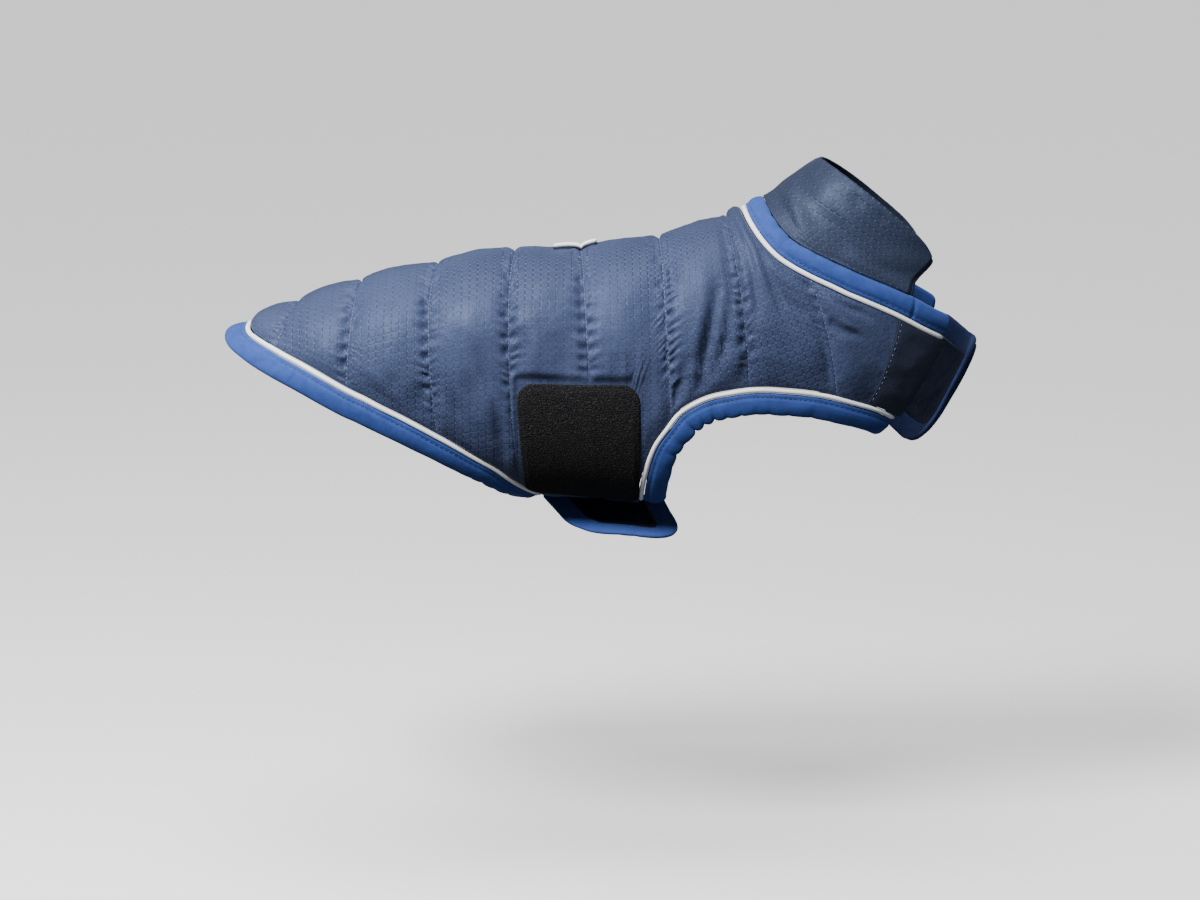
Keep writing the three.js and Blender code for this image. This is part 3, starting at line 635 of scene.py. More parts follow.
rightFolds = foldLines([
    ([(110, 78.4), (116, 91.2)], 3.2, 0.9), ([(99.2, 83.4), (107.3, 94.1)], 2.8, 0.7),
    ([(104, 76), (111, 92)], 2.4, -0.6),
    ([(166, 70), (172.3, 88), (177, 98)], 3.4, 1.5), ([(161, 82), (167, 106)], 4.2, 0.9),
    ([(171, 90), (176, 112)], 2.6, -0.8),
    ([(149.3, 92), (155.4, 104), (161, 116)], 3.4, 1.3), ([(144, 92), (152, 112)], 3.0, -0.7),
    ([(129, 85.5), (134, 98)], 3.0, 0.9), ([(122, 86), (131, 104)], 3.4, 0.8),
    ([(178, 94), (181, 128)], 3.6, 1.4),
    ([(195, 62), (194.6, 84)], 2.6, 0.7), ([(203, 66), (201, 86)], 3.0, -0.7),
    ([(214, 64), (226, 86)], 6.5, 1.2),
    ([(252.9, 74), (252.9, 88)], 2.4, 0.7), ([(258, 76), (260, 87)], 2.2, -0.5),
    ([(262, 74), (264, 89)], 2.6, 0.9), ([(272, 82), (275, 104)], 2.6, 1.0),
    ([(276, 86), (280, 108)], 2.4, -0.7), ([(270, 100), (270.5, 140)], 2.6, 0.8),
    ([(299, 76), (294.5, 88), (287, 99)], 3.4, 1.9), ([(304, 80), (299, 95)], 2.6, -1.0),
    ([(324.5, 50), (314.5, 69.8), (304.6, 89), (303, 96)], 4.2, 3.2),
    ([(314, 54), (305, 72), (298, 88)], 3.4, -1.0),
    ([(333, 56), (324, 74), (310, 91)], 3.0, 1.9), ([(329, 52), (318.5, 73), (306.5, 92)], 2.4, -1.2),
    ([(342, 60), (336, 78), (322, 92)], 4.0, -0.9), ([(289, 26), (291.5, 52)], 4.5, 1.3),
    ([(340, 72), (333.5, 81)], 3.2, 1.5), ([(340, 4), (338, 40), (333, 60)], 4.0, 0.9),
    ([(358, 6), (357, 38), (352, 70)], 3.4, 0.6), ([(364, 34), (358.5, 52), (349, 74)], 3.4, 0.9),
    ([(376, 44), (371.4, 61), (369, 78)], 3.2, 1.5), ([(381, 50), (376, 66), (374, 80)], 2.6, -0.8),
    ([(380, 61), (378, 71), (384.5, 80)], 3.6, 1.5), ([(395, 63), (397, 74)], 2.4, 0.9),
    ([(388, 62), (389, 72)], 2.4, -0.7), ([(396, 85), (398.4, 93.4), (405, 100)], 3.4, 1.4),
    ([(409.3, 84), (409.5, 92)], 2.4, 1.0), ([(414.7, 91), (414.7, 98)], 2.2, 0.8),
    ([(387, 82), (385.6, 96.6), (378.5, 110)], 2.8, 1.0), ([(401, 90), (406, 98)], 2.6, -0.7),
    ([(66, 44), (60, 58)], 3.4, 0.6), ([(236, 20), (240, 60)], 6.0, 0.7),
])
leftFolds = foldLines([
    ([(106, 74), (114, 90)], 3.4, 0.9), ([(118, 82), (122, 98)], 2.8, 0.8),
    ([(111, 78), (118, 95)], 2.4, -0.6), ([(158, 80), (164, 104)], 3.6, 1.3),
    ([(170, 76), (175, 100)], 3.2, 1.2), ([(165, 84), (170, 106)], 2.6, -0.7),
    ([(183, 96), (184, 130)], 3.8, 1.3), ([(200, 88), (198, 126)], 3.6, 0.9),
    ([(212, 62), (208, 90)], 4.2, 0.8), ([(222, 92), (220, 140)], 4.4, 1.0),
    ([(246, 84), (250, 128)], 3.8, 1.0), ([(256, 92), (258, 140)], 3.0, -0.8),
    ([(271, 78), (274, 106)], 2.8, 1.1), ([(297, 74), (292, 90), (286, 99)], 3.4, 1.7),
    ([(321, 46), (312, 68), (303, 94)], 5.0, 2.6), ([(330, 58), (320, 78), (308, 92)], 3.0, 1.6),
    ([(326, 52), (315.5, 74), (305, 93)], 2.4, -1.1), ([(288, 30), (290, 56)], 4.5, 1.1),
    ([(343, 30), (340, 58)], 4.0, 0.9), ([(361, 32), (356, 56)], 3.4, 0.9),
    ([(375, 46), (370, 64), (367, 82)], 3.2, 1.4), ([(382, 60), (380, 72), (386, 82)], 3.4, 1.3),
    ([(396, 84), (399, 94), (405, 101)], 3.4, 1.2), ([(410, 86), (411, 94)], 2.4, 0.9),
    ([(388, 84), (385, 98), (379, 111)], 2.8, 1.0), ([(64, 42), (59, 56)], 3.4, 0.6),
])


def quiltRise(channel, girth, toEnd, toNeck):
    share = (channel - math.floor(channel)) ** quilt["lean"]
    near = abs(math.sin(math.pi * share)) ** quilt["roundness"]
    full = lerp(quilt["puffOnBack"], quilt["puffOnFlank"], smoothstep(50, 120, girth))
    full *= smoothstep(0, 0.8, 9 - channel)
    bySlit = max(0, 1 - abs(channel - 4.55) / 0.5)
    hollow = 0.65 * bySlit * max(0, 1 - girth / 40)
    edge = min(toEnd / quilt["edgeFade"], toNeck / quilt["neckFade"], 1)
    return full * near * (1 - hollow) * math.sqrt(max(0, edge))


def seamGathers():
    # dents and ridges beside each seam: run round the body, gap from the seam, half sizes
    # round and along, lean, depth in millimetres
    chance = random.Random(29)
    found = {}
    for seam in range(1, 9):
        for side in (-1, 1):
            for rear in (False, True):
                items, run = [], chance.uniform(1, 4)
                while run < 200:
                    pocket = chance.random() < (0.25 if run < 40 else 0.6)
                    lean = chance.uniform(0.3, 1.0)
                    depth = quilt["gathered"][seam - 1] * (1 if rear else 0.75)
                    step = chance.uniform(6.5, 10.5) if pocket else chance.uniform(3.8, 5.4)
                    if pocket:
                        items.append((run, chance.uniform(2.2, 3.6), chance.uniform(1.9, 2.9),
                                      chance.uniform(2.2, 3.4), lean * 0.4, depth * chance.uniform(1.6, 2.8)))
                    else:
                        items.append((run, chance.uniform(2, 4.5), chance.uniform(0.8, 1.2),
                                      chance.uniform(3, 5.5), lean, depth * chance.uniform(0.9, 1.7)))
                    items.append((run + step / 2, chance.uniform(2, 4), chance.uniform(1.0, 1.5),
                                  chance.uniform(2.5, 5), lean, -depth * chance.uniform(0.5, 1.1)))
                    run += step
                items.sort()
                found[(seam, side, rear)] = (items, [item[0] for item in items])
    return found


gathers = seamGathers()


def gatherRise(seam, side, signedGap, run):
    gap = abs(signedGap)
    if seam in (0, 9) or gap > quilt["gatherReach"]:
        return 0.0
    items, runs = gathers[(seam, side, signedGap < 0)]
    total = 0.0
    for middle, off, halfRun, halfGap, lean, depth in items[bisect.bisect(runs, run - 14):bisect.bisect(runs, run + 14)]:
        away = gap - off
        total -= depth * math.exp(-(((run - middle + lean * away) / halfRun) ** 2) - (away / halfGap) ** 2)
    faint = lerp(1, quilt["gatherBelow"], smoothstep(*quilt["gatherEnd"], run))
    return total * faint * smoothstep(0, 1.4, gap) * smoothstep(quilt["gatherReach"], 9, gap)


def patchCover(along, girth, side):
    if side > 0:
        return 0.0
    low = lerp(151, 156, (along - 195.5) / 71.3)
    return (smoothstep(187.8, 190.6, along) * smoothstep(271.5, 268, along)
            * smoothstep(83.8, 88.8, girth) * smoothstep(low + 3.5, low, girth))


def backRows():
    channels = []
    for seam in range(9):
        ahead, behind = capePlace(capeRow(seam + 1), 0.5), capePlace(capeRow(seam), 0.5)
        wide = (Vector(clothPlace(*ahead)) - Vector(clothPlace(*behind))).length
        near = [step for step in quilt["nearSeam"] if step < wide * 0.4]
        spare = wide - 2 * near[-1]
        count = math.ceil(spare / quilt["widest"])
        steps = near + [near[-1] + spare * i / count for i in range(1, count)]
        steps += [wide - step for step in reversed(near[1:])]
        channels += [seam + step / wide for step in steps]
    return channels + [9.0]


neckFlat = [Vector(clothPlace(*ClothLine(neckEdge).at(i / 40))) for i in range(41)]


def neckGap(spot):
    place = Vector((spot[0], abs(spot[1])))
    best = 1e9
    for a, b in zip(neckFlat, neckFlat[1:]):
        span = b - a
        t = min(max((place - a).dot(span) / span.dot(span), 0), 1)
        best = min(best, (a + span * t - place).length)
    return best


def makeBack():
    channels = backRows()
    rows = [capeRow(channel) for channel in channels]
    spreads = []
    for channel, row in zip(channels, rows):
        points = [formPoint(*capePlace(row, c / 24)) for c in range(25)]
        spreads.append(sum((b - a).length for a, b in zip(points, points[1:])))
    heads = [capeRow(min(channel + 0.03, 9)) for channel in channels]
    tails = [capeRow(max(channel - 0.03, 0)) for channel in channels]
    last = len(channels) - 1
    bm = bmesh.new()

    def seamGap(r, column):
        channel = channels[r]
        ahead, behind = capePlace(heads[r], column), capePlace(tails[r], column)
        span = (Vector(clothPlace(*ahead)) - Vector(clothPlace(*behind))).length
        wide = span / (min(channel + 0.03, 9) - max(channel - 0.03, 0))
        return (channel - round(channel)) * wide

    def heightAt(r, column, side):
        channel, row = channels[r], rows[r]
        along, girth = capePlace(row, column)
        spot = Vector(clothPlace(along, girth * side))
        toEnd = spreads[r] * (1 - column ** row[3])
        toNeck = neckGap(spot) if channel > 6.6 else 99
        gap = seamGap(r, column)
        rise = quiltRise(channel, girth, toEnd, toNeck)
        free = 1 - quilt["patchPress"] * patchCover(along, girth, side)
        edge = min(1, toEnd / 6, toNeck / 5)
        bySeam = smoothstep(0, 5, abs(gap))
        rise += gatherRise(round(channel), side, gap, abs(spot.y)) * edge
        rise -= foldDepth(rightFolds if side < 0 else leftFolds, Vector((spot.x, abs(spot.y)))) * bySeam * edge * quilt["foldDepth"]
        low = smoothstep(60, 105, girth)
        drape = noise.noise(Vector((spot.x / 8, spot.y / 34, 5))) * lerp(0.5, 1.1, low)
        drape += noise.noise(Vector((spot.x / 19, spot.y / 21, 9))) * 0.7
        rise += drape * bySeam * edge
        return along, girth, quilt["cloth"] + max(rise * (free if rise > 0 else 1), -0.7)

    for side in (-1, 1):
        def outerAt(a, b):
            along, girth, height = heightAt(round(a * last), b, side)
            return lifted(formPoint, along, girth * side, height)

        def flatAt(a, b):
            along, girth = capePlace(rows[round(a * last)], b)
            return clothPlace(along, girth * side)

        layGrid(bm, last, quilt["columns"][side], side, outerAt, flatAt)
    bmesh.ops.remove_doubles(bm, verts=bm.verts, dist=0.02)

    def innerAt(a, b, side):
        r = round(a * last)
        along, girth = capePlace(rows[r], b)
        return formPoint(along, girth * side)

    clothWall(bm, innerAt)
    back = finishMesh(bm, "quiltedBack", [shellNavy, liningNavyAndSlitShade])
    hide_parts("back_panel")
    return back, channels


back, channelList = makeBack()


print("bindings and piping")
binding = {
    "width": 14, "neckWidth": 12.5, "gap": 0.5 + 3.2 + 0.3, "flapGap": -0.7, "corner": 5, "join": 25,
    "stitchAt": 2.3, "grooveDepth": 0.75, "grooveWidth": 0.9,
    # rolled section: share of the width, height
    "section": [
        (0, 0.4), (0, 1.5), (0.03, 2.4), (0.1, 2.9), (0.22, 3.3), (0.45, 3.7), (0.62, 3.65), (0.78, 3.3),
        (0.9, 2.8), (0.97, 2.1), (1, 1.4), (0.98, 0.7), (0.9, 0.15), (0.7, -0.15), (0.45, -0.3),
        (0.2, -0.2), (0.06, 0),
    ],
}
piping = {"radius": 1.6, "rise": 1.1, "centre": 2.1, "sides": 12}
bindingLoop = ClothLine([(x * 14, y) for x, y in binding["section"] + binding["section"][:1]])


def makeBinding(name, rails, width, gap, finish, step, ripples, seed, joins=(), ridge=None):
    total = rails[0]["total"]
    count = max(24, round(total / step))
    bm = bmesh.new()

    def pointAt(a, b):
        walked = a * total
        toEnd = min(walked, total - walked)
        short = max(0, binding["corner"] - toEnd)
        trimmed = width - binding["corner"] + math.sqrt(max(0, binding["corner"] ** 2 - short ** 2))
        x, height = bindingLoop.at(b % 1.0)
        share = x / 14
        across = share * trimmed
        top = smoothstep(0.3, 1.6, height)
        groove = binding["grooveDepth"] * math.exp(-(((across - binding["stitchAt"]) / binding["grooveWidth"]) ** 2))
        height -= groove * top
        for join in joins:
            height -= 1.1 * top * math.exp(-(((walked - join + 0.22 * (across - 6)) / 0.75) ** 2))
        if ridge is not None:
            height -= 0.9 * top * math.exp(-(((across - ridge) / 0.8) ** 2))
        for centre, reach, pitch, depth in ripples:
            near = math.exp(-(((walked - centre) / reach) ** 2)) * depth
            phase = walked / pitch + seed * 1.7 + 0.35 * noise.noise(Vector((walked / 23, seed, 3)))
            lobe = abs(math.sin(math.pi * phase)) ** 0.6 - 0.7
            size = 1 + 0.8 * noise.noise(Vector((walked / 13, seed + 2, 6)))
            height += lobe * size * near * top * share * 0.9
            across += lobe * size * near * 1.3 * share ** 2
        height += 0.3 * noise.noise(Vector((walked / 17, seed + 5, share * 2))) * top
        across += 0.35 * noise.noise(Vector((walked / 21, seed + 9, 0))) * share
        pinch = smoothstep(0, 1.4, toEnd)
        middle = (0.5 * trimmed, 1.6)
        across, height = lerp(middle[0], across, 0.86 + 0.14 * pinch), lerp(middle[1], height, 0.55 + 0.45 * pinch)
        return railPoint(rails, a, gap + across, height)

    tube(bm, count, 34, pointAt, lambda a: a * total, lambda b: b * 34)
    piece = finishMesh(bm, name, [finish])
    return piece


def makePiping(name, rails):
    total = rails[0]["total"]
    count = round(total / 2.2)
    bm = bmesh.new()

    def pointAt(a, b):
        turn = -2 * math.pi * b
        end = smoothstep(0, 1.2, min(a * total, (1 - a) * total))
        radius = piping["radius"] * (0.6 + 0.4 * end) * (1 + 0.03 * noise.noise(Vector((a * total / 6, 4, 0))))
        across = piping["centre"] - radius * math.cos(turn)
        return railPoint(rails, a, across, piping["rise"] + radius * math.sin(turn))

    tube(bm, count, piping["sides"], pointAt, lambda a: a * total, lambda b: b * 10)
    return finishMesh(bm, name, [pipingWhite])


def stitchLine(rails, across, height, pitch, dash, skip=1.0):
    total = rails[0]["total"]
    made = []
    walked = skip
    while walked < total - skip:
        a, b = walked / total, min(1, (walked + dash) / total)
        start, end = railPoint(rails, a, across, height), railPoint(rails, b, across, height)
        out = (railPoint(rails, a, across, height + 1) - start).normalized()
        made.append(((start + end) / 2, end - start, out))
        walked += pitch
    return made


hemLine = ClothLine(list(reversed(mirrored(hemEdge))) + hemEdge[1:])
rightLegLine = ClothLine(list(reversed(mirrored(legEdge))))
leftLegLine = ClothLine(legEdge)
neckLine = ClothLine(list(reversed(neckEdge)) + mirrored(neckEdge)[1:])
trims = [
    # name, line, start, end, stations, width, ripples: centre, reach, pitch, depth in mm
    ("hem", hemLine, 0.006, 0.994, 260, 14, [(20, 26, 11, 0.7), (300, 34, 12, 0.5), (490, 26, 11, 0.7)]),
    ("legRight", rightLegLine, 0.015, 0.97, 150, 14, [(150, 42, 12.5, 1.6), (60, 40, 15, 0.35)]),
    ("legLeft", leftLegLine, 0.03, 0.985, 150, 14, [(74, 42, 12.8, 1.5), (160, 40, 15, 0.35)]),
    ("neck", neckLine, 0.004, 0.996, 190, 12.5, [(130, 60, 15, 0.4), (230, 60, 14, 0.4)]),
]
cadNames = {"hem": "hem_{}", "legRight": "leg_{}_right", "legLeft": "leg_{}_left", "neck": "neck_{}"}
edgeStitches = []
trimPieces = {}
for number, (name, line, start, end, stations, width, ripples) in enumerate(trims):
    rails = edgeRails(formPoint, line, stations, 20, start, end)
    joins = [binding["join"], rails[0]["total"] - binding["join"]] if name == "neck" else []
    step = 1.0 if joins else 1.6
    edging = makeBinding(
        name + "Binding", rails, width, binding["gap"], bindingBlue, step, ripples, number + 1, joins,
    )
    bead = makePiping(name + "Piping", rails)
    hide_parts(cadNames[name].format("binding"))
    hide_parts(cadNames[name].format("piping"))
    edgeStitches += stitchLine(rails, binding["gap"] + binding["stitchAt"], 2.35, 3.4, 2.3)
    trimPieces[name] = (edging, bead, rails[0]["total"])


print("front tabs and flaps")
tabSeam, tabFront = [(424.3, 109.8), (388.9, 125.9)], [(427.8, 135), (396.8, 145.1)]
flap = {"cloth": 2.0, "corner": 9}
tabFolds = foldLines([
    ([(404, 119), (408, 130), (404, 138)], 4.0, 0.9), ([(415, 116), (413, 128)], 3.0, 0.7),
    ([(398, 124), (402, 136)], 3.0, -0.6), ([(421, 118), (420, 130)], 2.4, 0.6),
])


def makeTab(name, surface, side, node):
    neck, leg = ClothLine(neckEdge), ClothLine(legEdge)
    neckShares = [neck.shareAt(tabSeam[0]), neck.shareAt(tabFront[0])]
    legShares = [leg.shareAt(tabSeam[1]), leg.shareAt(tabFront[1])]
    bm = bmesh.new()

    def placeAt(a, b):
        top, low = neck.at(lerp(*neckShares, a)), leg.at(lerp(*legShares, a))
        return lerp(top[0], low[0], b), lerp(top[1], low[1], b) * side

    def outerAt(a, b):
        along, girth = placeAt(a, b)
        spot = Vector(clothPlace(along, abs(girth)))
        inside = smoothstep(0, 0.12, a) * smoothstep(0, 0.06, b) * smoothstep(0, 0.06, 1 - b)
        height = flap["cloth"] - foldDepth(tabFolds, spot) * inside
        height -= 0.45 * math.exp(-((a * 32 - 1.6) / 0.8) ** 2)
        height += 0.35 * noise.noise(Vector((spot.x / 11, spot.y / 14, side))) * inside
        return lifted(surface, along, girth, max(height, 0.9))

    layGrid(bm, 26, 60, side, outerAt, lambda a, b: clothPlace(*placeAt(a, b)))
    clothWall(bm, lambda a, b, key: surface(*placeAt(a, b)))
    piece = finishMesh(bm, name, [tabNavy, liningNavyAndSlitShade])
    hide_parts(node)
    line = []
    for k in range(14):
        a, b = 0.055, 0.03 + k * 0.068
        start, end = lifted(surface, *placeAt(a, b), 1.75), lifted(surface, *placeAt(a, b + 0.028), 1.75)
        out = directions(surface, *placeAt(a, b))[2]
        line.append(((start + end) / 2, end - start, out))
    return piece, line


def chestRange(girth):
    return 397.5, 427.0


def bellyRange(girth):
    return 209 + 14 * (girth - 159.1) / (201 - 159.1), 266.0


def makeFlap(name, surface, rangeAt, starts, end, node, wave):
    bm = bmesh.new()

    def placeAt(a, b):
        girth = lerp(lerp(starts[1], starts[0], b), end, a)
        short = max(0, 1 - (end - girth) / flap["corner"])
        inset = flap["corner"] * (1 - math.sqrt(max(0, 1 - short ** 2))) * 0.8
        low, high = rangeAt(girth)
        return lerp(high - inset, low + inset, b), girth

    def outerAt(a, b):
        along, girth = placeAt(a, b)
        ripple = noise.noise(Vector((along / wave, girth / wave, 7))) * 0.5
        return lifted(surface, along, girth, flap["cloth"] + ripple * 0.5)

    def innerAt(a, b, key):
        along, girth = placeAt(a, b)
        inside = smoothstep(0, 0.15, b) * smoothstep(0, 0.15, 1 - b) * smoothstep(0, 0.12, 1 - a)
        ripple = noise.noise(Vector((along / wave, girth / wave, 2))) * 0.9 * inside
        return lifted(surface, along, girth, min(0.6, ripple))

    layGrid(bm, 60, 40, 1, outerAt, lambda a, b: clothPlace(*placeAt(a, b)))
    clothWall(bm, innerAt)
    piece = finishMesh(bm, name, [tabNavy, liningNavyAndSlitShade])
    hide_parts(node)
    return piece


def flapLine(rangeAt, starts, end):
    cut, corner = flap["corner"] * 0.8, flap["corner"]
    low, high = rangeAt(end)
    lowSide, highSide = [[s, (s + end - corner) / 2, end - corner] for s in starts]
    places = [(rangeAt(g)[0], g) for g in lowSide]
    places += [(low + cut * 0.3, end - corner * 0.3), (low + cut, end), ((low + high) / 2, end)]
    places += [(high - cut, end), (high - cut * 0.3, end - corner * 0.3)]
    places += [(rangeAt(g)[1], g) for g in reversed(highSide)]
    return ClothLine(places)


tabRight, tabStitches = makeTab("frontTabRight", formPoint, -1, "chest_tab_right")
tabLeft, moreStitches = makeTab("frontTabLeft", chestFlapPoint, 1, "chest_tab_left")
tabStitches += moreStitches
chestFlap = makeFlap("chestFlap", chestFlapPoint, chestRange, (145.9, 135.8), 199, "chest_flap", 7)
bellyFlap = makeFlap("bellyFlap", bellyFlapPoint, bellyRange, (159.1, 159.1), 201, "belly_flap", 9)
for name, surface, rangeAt, starts, end, node, blue in (
    # the chest flap's binding takes the darker blue as painted shade
    ("chestFlapBinding", chestFlapPoint, chestRange, (148.9, 138.8), 199, "chest_flap_binding", shadedFlapBlue),
    ("bellyFlapBinding", bellyFlapPoint, bellyRange, (167.1, 167.1), 201, "belly_flap_binding", bindingBlue),
):
    rails = edgeRails(surface, flapLine(rangeAt, starts, end), 110, 17)
    edging = makeBinding(name, rails, 14, binding["flapGap"], blue, 1.5, [(70, 60, 16, 0.3)], 8, ridge=9.6)
    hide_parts(node)
    edgeStitches += stitchLine(rails, binding["flapGap"] + binding["stitchAt"], 2.35, 3.4, 2.3)
    trimPieces[name] = (edging, None, rails[0]["total"])


print("collar")
collar = {
    "cloth": 2.6, "baseEnd": 112, "hemThin": 1.3, "hemWidth": 3.2,
    "rim": [
        (471, 0), (471.4, 10.3), (472.5, 31.7), (473.4, 47.7), (474, 60.2), (474.3, 72),
        (474.3, 84.5), (474.2, 97), (473.4, 108), (470.5, 117), (465, 122.5),
    ],
}
collarFolds = foldLines([
    ([(463, 5), (455, 36), (444, 60)], 5.0, 1.3), ([(457, 3), (447, 34), (438, 52)], 4.0, -1.0),
    ([(449, 8), (440, 38), (427, 50)], 4.0, 1.1), ([(453, 45), (450, 64), (437, 78)], 5.0, 1.2),
    ([(460, 50), (456, 70), (446, 88)], 5.0, -0.8), ([(418, 50), (423, 70)], 3.4, 0.9),
    ([(470, 56), (465, 68)], 2.6, 0.8), ([(471, 76), (466, 84)], 2.4, 0.6),
    ([(426, 66), (434, 93)], 3.6, 0.9), ([(441, 84), (444, 108)], 4.0, 0.5),
    ([(470, 24), (463, 30)], 2.6, 0.6),
])


def makeCollar():
    rails = edgeRails(formPoint, ClothLine(mirrored(neckEdge)), 60, 18)
    base = [(lerp(r["stops"][16][2][0], r["stops"][17][2][0], 0.8), -r["stops"][17][2][1]) for r in rails]
    base[0] = (base[0][0], 0.0)
    rimLine = ClothLine(collar["rim"])
    girths = [g for _, g in base]

    def placeAt(a, b, side):
        goal = collar["baseEnd"] * a
        i = max(1, next((k for k, g in enumerate(girths) if g >= goal), 60))
        t = (goal - girths[i - 1]) / (girths[i] - girths[i - 1])
        start = base[0][0] if a == 0 else lerp(base[i - 1][0], base[i][0], t)
        rim = rimLine.at(a)
        return lerp(start, rim[0], b), lerp(goal, rim[1], b) * side

    def heights(a, b, side):
        along, girth = placeAt(a, b, side)
        spot = Vector(clothPlace(along, abs(girth)))
        rimDrop = smoothstep(0.93, 1.0, b)
        frontHem = smoothstep(1 - collar["hemWidth"] / 130, 1 - (collar["hemWidth"] - 0.8) / 130, a)
        inside = smoothstep(0, 0.08, b) * (1 - 0.5 * rimDrop) * (1 - frontHem)
        sign = 1 if side < 0 else 0.8
        fold = foldDepth(collarFolds, spot if side < 0 else Vector((spot.x + 2, spot.y * 0.96))) * sign
        soft = 0.7 * noise.noise(Vector((spot.x / 16, spot.y / 22, side * 3.0)))
        height = collar["cloth"] + (soft - fold) * inside
        height -= rimDrop * 0.9 * (0.6 + 0.6 * noise.noise(Vector((spot.y / 5, 2, side))))
        height -= frontHem * (collar["cloth"] - collar["hemThin"])
        return along, girth, height, rimDrop

    bm = bmesh.new()
    for side in (-1, 1):
        def outerAt(a, b):
            along, girth, height, _ = heights(a, b, side)
            return lifted(formPoint, along, girth, max(height, 0.9))

        layGrid(bm, 110, 52, side, outerAt, lambda a, b: clothPlace(*placeAt(a, b, side)))
    bmesh.ops.remove_doubles(bm, verts=bm.verts, dist=0.02)

    def innerAt(a, b, side):
        along, girth, height, rimDrop = heights(a, b, side)
        return lifted(formPoint, along, girth, 0.6 * rimDrop - 0.2 * noise.noise(Vector((along / 8, girth / 9, 0))))

    clothWall(bm, innerAt)
    piece = finishMesh(bm, "standingCollar", [collarNavy, liningNavyAndSlitShade])
    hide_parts("collar")
    return piece


collarPiece = makeCollar()


print("loop patch")
patch = {"lift": 2.1, "thick": 1.2, "rim": 2.2, "rimThick": 0.9, "grid": 72}


def makePatch():
    rearTop, frontTop, rearLow, frontLow = patchSpan["corners"]
    wide = 76.0
    tall = 84.0
    corner = patchSpan["corner"]

    def squared(a, b):
        x, y = (a * 2 - 1) * wide / 2, (b * 2 - 1) * tall / 2
        qx, qy = abs(x) - (wide / 2 - corner), abs(y) - (tall / 2 - corner)
        if qx > 0 and qy > 0:
            shrink = max(qx, qy) / math.hypot(qx, qy)
            x = math.copysign(wide / 2 - corner + qx * shrink, x)
            y = math.copysign(tall / 2 - corner + qy * shrink, y)
        inset = min(wide / 2 - abs(x), tall / 2 - abs(y))
        if qx > 0 and qy > 0:
            inset = corner - max(qx, qy)
        return x, y, inset

    def placeAt(a, b):
        x, y, _ = squared(a, b)
        t, d = x / wide + 0.5, y / tall + 0.5
        along = lerp(lerp(rearTop[0], frontTop[0], t), lerp(rearLow[0], frontLow[0], t), d)
        girth = lerp(lerp(rearTop[1], frontTop[1], t), lerp(rearLow[1], frontLow[1], t), d)
        return along, -girth

    def outerAt(a, b):
        along, girth = placeAt(a, b)
        x, y, inset = squared(a, b)
        field = smoothstep(patch["rim"] - 0.5, patch["rim"] + 0.7, inset)
        edge = math.sqrt(max(0, 1 - max(0, 1 - inset / 0.9) ** 2))
        height = patch["lift"] + patch["rimThick"] * (0.45 + 0.55 * edge) + field * (patch["thick"] - patch["rimThick"] + 0.25)
        height -= 0.35 * math.exp(-((inset - patch["rim"]) / 0.45) ** 2)
        height += 0.25 * noise.noise(Vector((x / 19, y / 23, 3)))
        height += 0.16 * noise.noise(Vector((x / 1.1, y / 1.1, 9))) * field
        return lifted(formPoint, along, girth, height)

    bm = bmesh.new()
    layGrid(bm, patch["grid"], patch["grid"], -1, outerAt, lambda a, b: clothPlace(*placeAt(a, b)))
    clothWall(bm, lambda a, b, key: lifted(formPoint, *placeAt(a, b), patch["lift"]))
    piece = finishMesh(bm, "loopPatch", [loopPile, liningNavyAndSlitShade])
    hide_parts("loop_patch")
    return piece


loopPatch = makePatch()


print("leash slit")
slit = {"start": 213, "end": 242, "lipRadius": 1.4, "stripHalf": 1.2, "stripThick": 0.8, "gap": 0.5}


def ridgePoint(along):
    low, high = 3.9, 5.4
    for _ in range(30):
        middle = (low + high) / 2
        if capeRow(middle)[0][0] < along:
            low = middle
        else:
            high = middle
    rise = quiltRise(low, 0, 99, 99)
    return lifted(formPoint, along, 0, quilt["cloth"] + rise)


def makeSlit():
    path = [ridgePoint(lerp(slit["start"], slit["end"], i / 24)) for i in range(25)]

    def alongPath(a):
        spot = min(max(a, 0), 1) * 24
        i = min(int(spot), 23)
        return path[i].lerp(path[i + 1], spot - i)

    bm = bmesh.new()

    def lipAt(a, b):
        turn = 2 * math.pi * b
        end = 0.45 + 0.55 * smoothstep(0, 0.06, min(a, 1 - a))
        radius = slit["lipRadius"] * end
        return alongPath(a) + Vector((0, 2 - radius * math.cos(turn), slit["gap"] + slit["lipRadius"] + radius * math.sin(turn)))

    tube(bm, 24, 12, lipAt, lambda a: a * 29, lambda b: b * 9)
    lip = finishMesh(bm, "slitLip", [pipingWhite])
    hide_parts("leash_slit_lip")
    # the near-black strip under the lip is painted shade: it stands for the shadowed mouth of the slit
    bm = bmesh.new()
    outline = ClothLine([(-1.2, 0), (-1.25, 0.5), (-1.0, 0.8), (1.0, 0.8), (1.25, 0.5), (1.2, 0), (-1.2, 0)])

    def stripAt(a, b):
        across, height = outline.at(b % 1.0)
        return alongPath(a) + Vector((0, across - 1.8, slit["gap"] + height))

    tube(bm, 24, 14, stripAt, lambda a: a * 29, lambda b: b * 5)
    strip = finishMesh(bm, "slitShadeStrip", [liningNavyAndSlitShade])
    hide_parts("leash_slit_strip")
    return lip, strip


slitLip, slitShadeStrip = makeSlit()


print("stitching")
sewing = {
    "quilt": {"length": 2.0, "width": 0.5, "height": 0.5, "rise": 0.12},
    "edge": {"length": 2.4, "width": 0.55, "height": 0.45, "rise": 0.22},
    "quiltPitch": 2.9,
}


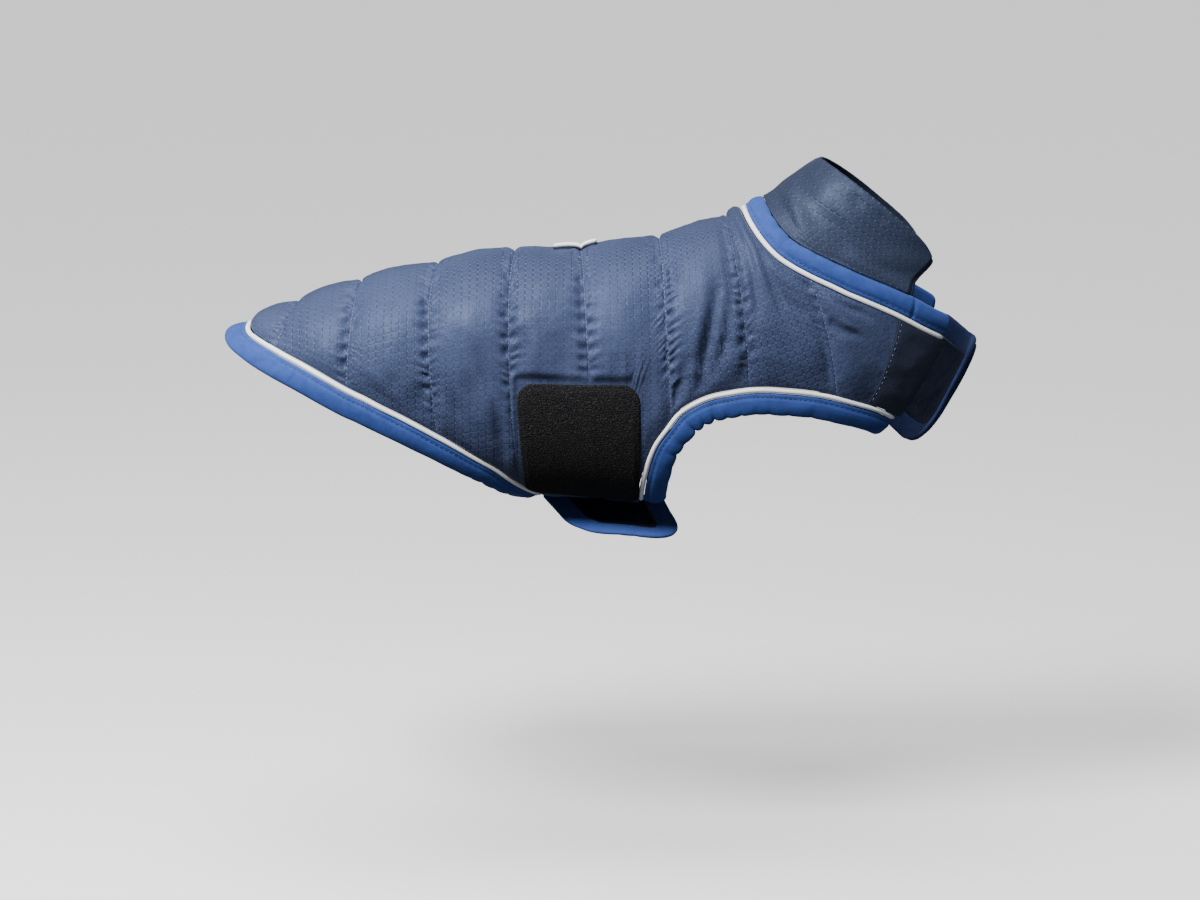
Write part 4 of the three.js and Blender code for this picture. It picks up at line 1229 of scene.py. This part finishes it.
def quiltStitches():
    made = []
    for seam in range(1, 9):
        row = capeRow(seam)
        places = [capePlace(row, i / 400) for i in range(401)]
        for side in (-1, 1):
            points = [lifted(formPoint, along, girth * side, quilt["cloth"]) for along, girth in places]
            walked, goal = 0.0, 1.5
            for i in range(400):
                walked += (points[i + 1] - points[i]).length
                if walked >= goal and i > 2:
                    column = i / 400
                    goal = walked + sewing["quiltPitch"]
                    along, girth = places[i]
                    if patchCover(along, girth, side) > 0.02 or column > 0.985:
                        continue
                    out = directions(formPoint, along, girth * side)[2]
                    made.append((points[i], points[i + 1] - points[i - 1], out))
    return made


seamThread = stitches("seamStitching", quiltStitches() + tabStitches, sewing["quilt"], navyThread)
edgeThread = stitches("edgeStitching", edgeStitches, sewing["edge"], blueThread)


print("cloth sizes")
cuts = [
    # piece, width and length of the flat cut in metres, how it is held, what it rests on
    (tabRight, (0.040, 0.040), "stretched", []), (tabLeft, (0.040, 0.040), "stretched", []),
    (chestFlap, (0.045, 0.075), "folded", []), (bellyFlap, (0.055, 0.045), "hung", []),
    (collarPiece, (0.24, 0.055), "stretched", []), (loopPatch, (0.076, 0.084), "laid", [back]),
]
for piece, flat, held, rests in cuts:
    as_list(rests)
for name, (edging, bead, total) in trimPieces.items():
    total * 0.001


print("camera, light and floor")
stage = {"floorZ": -0.4, "lens": 87.7, "distance": 1.9, "tilt": 12.0, "aim": (0.05525, 0, -0.1276)}
bm = bmesh.new()
bmesh.ops.create_grid(bm, x_segments=1, y_segments=1, size=60)
floorMesh = bpy.data.meshes.new("floor")
bm.to_mesh(floorMesh)
bm.free()
for vertex in floorMesh.vertices:
    vertex.co.z = stage["floorZ"]
floor = bpy.data.objects.new("floor", floorMesh)
bpy.context.scene.collection.objects.link(floor)
paleFloor = Finish("paleFloor", {"Base Color": (0.95, 0.95, 0.95, 1), "Roughness": 0.9})
floorMesh.materials.append(paleFloor.material)
floor.visible_diffuse = floor.visible_glossy = False    # no light thrown up from below

world = bpy.data.worlds.new("studio")
bpy.context.scene.world = world
world.use_nodes = True
world.node_tree.nodes["Background"].inputs[0].default_value = (0.93, 0.95, 1.0, 1)
world.node_tree.nodes["Background"].inputs[1].default_value = 0.17


def softLight(name, place, aim, size, power):
    data = bpy.data.lights.new(name, "AREA")
    data.shape, data.size, data.energy = "DISK", size, power
    lamp = bpy.data.objects.new(name, data)
    lamp.location = place
    lamp.rotation_euler = (Vector(aim) - Vector(place)).to_track_quat("-Z", "Y").to_euler()
    bpy.context.scene.collection.objects.link(lamp)


def skyLight(name, heading, spread, strength):
    data = bpy.data.lights.new(name, "SUN")
    data.angle, data.energy = math.radians(spread), strength
    lamp = bpy.data.objects.new(name, data)
    lamp.rotation_euler = Vector(heading).to_track_quat("-Z", "Y").to_euler()
    bpy.context.scene.collection.objects.link(lamp)


skyLight("ceiling", (0.12, 0.12, -1), 40, 3.1)
softLight("key", (-0.50, -0.72, 0.88), (-0.08, 0, -0.06), 0.45, 37)

camera = bpy.data.objects.new("camera", bpy.data.cameras.new("camera"))
aim = Vector(stage["aim"])
tilt = math.radians(stage["tilt"])
camera.location = aim + Vector((0, -math.cos(tilt), math.sin(tilt))) * stage["distance"]
camera.rotation_euler = (aim - camera.location).to_track_quat("-Z", "Y").to_euler()
camera.data.lens, camera.data.sensor_width = stage["lens"], 36
bpy.context.scene.collection.objects.link(camera)
bpy.context.scene.camera = camera

bpy.context.view_layer.update()
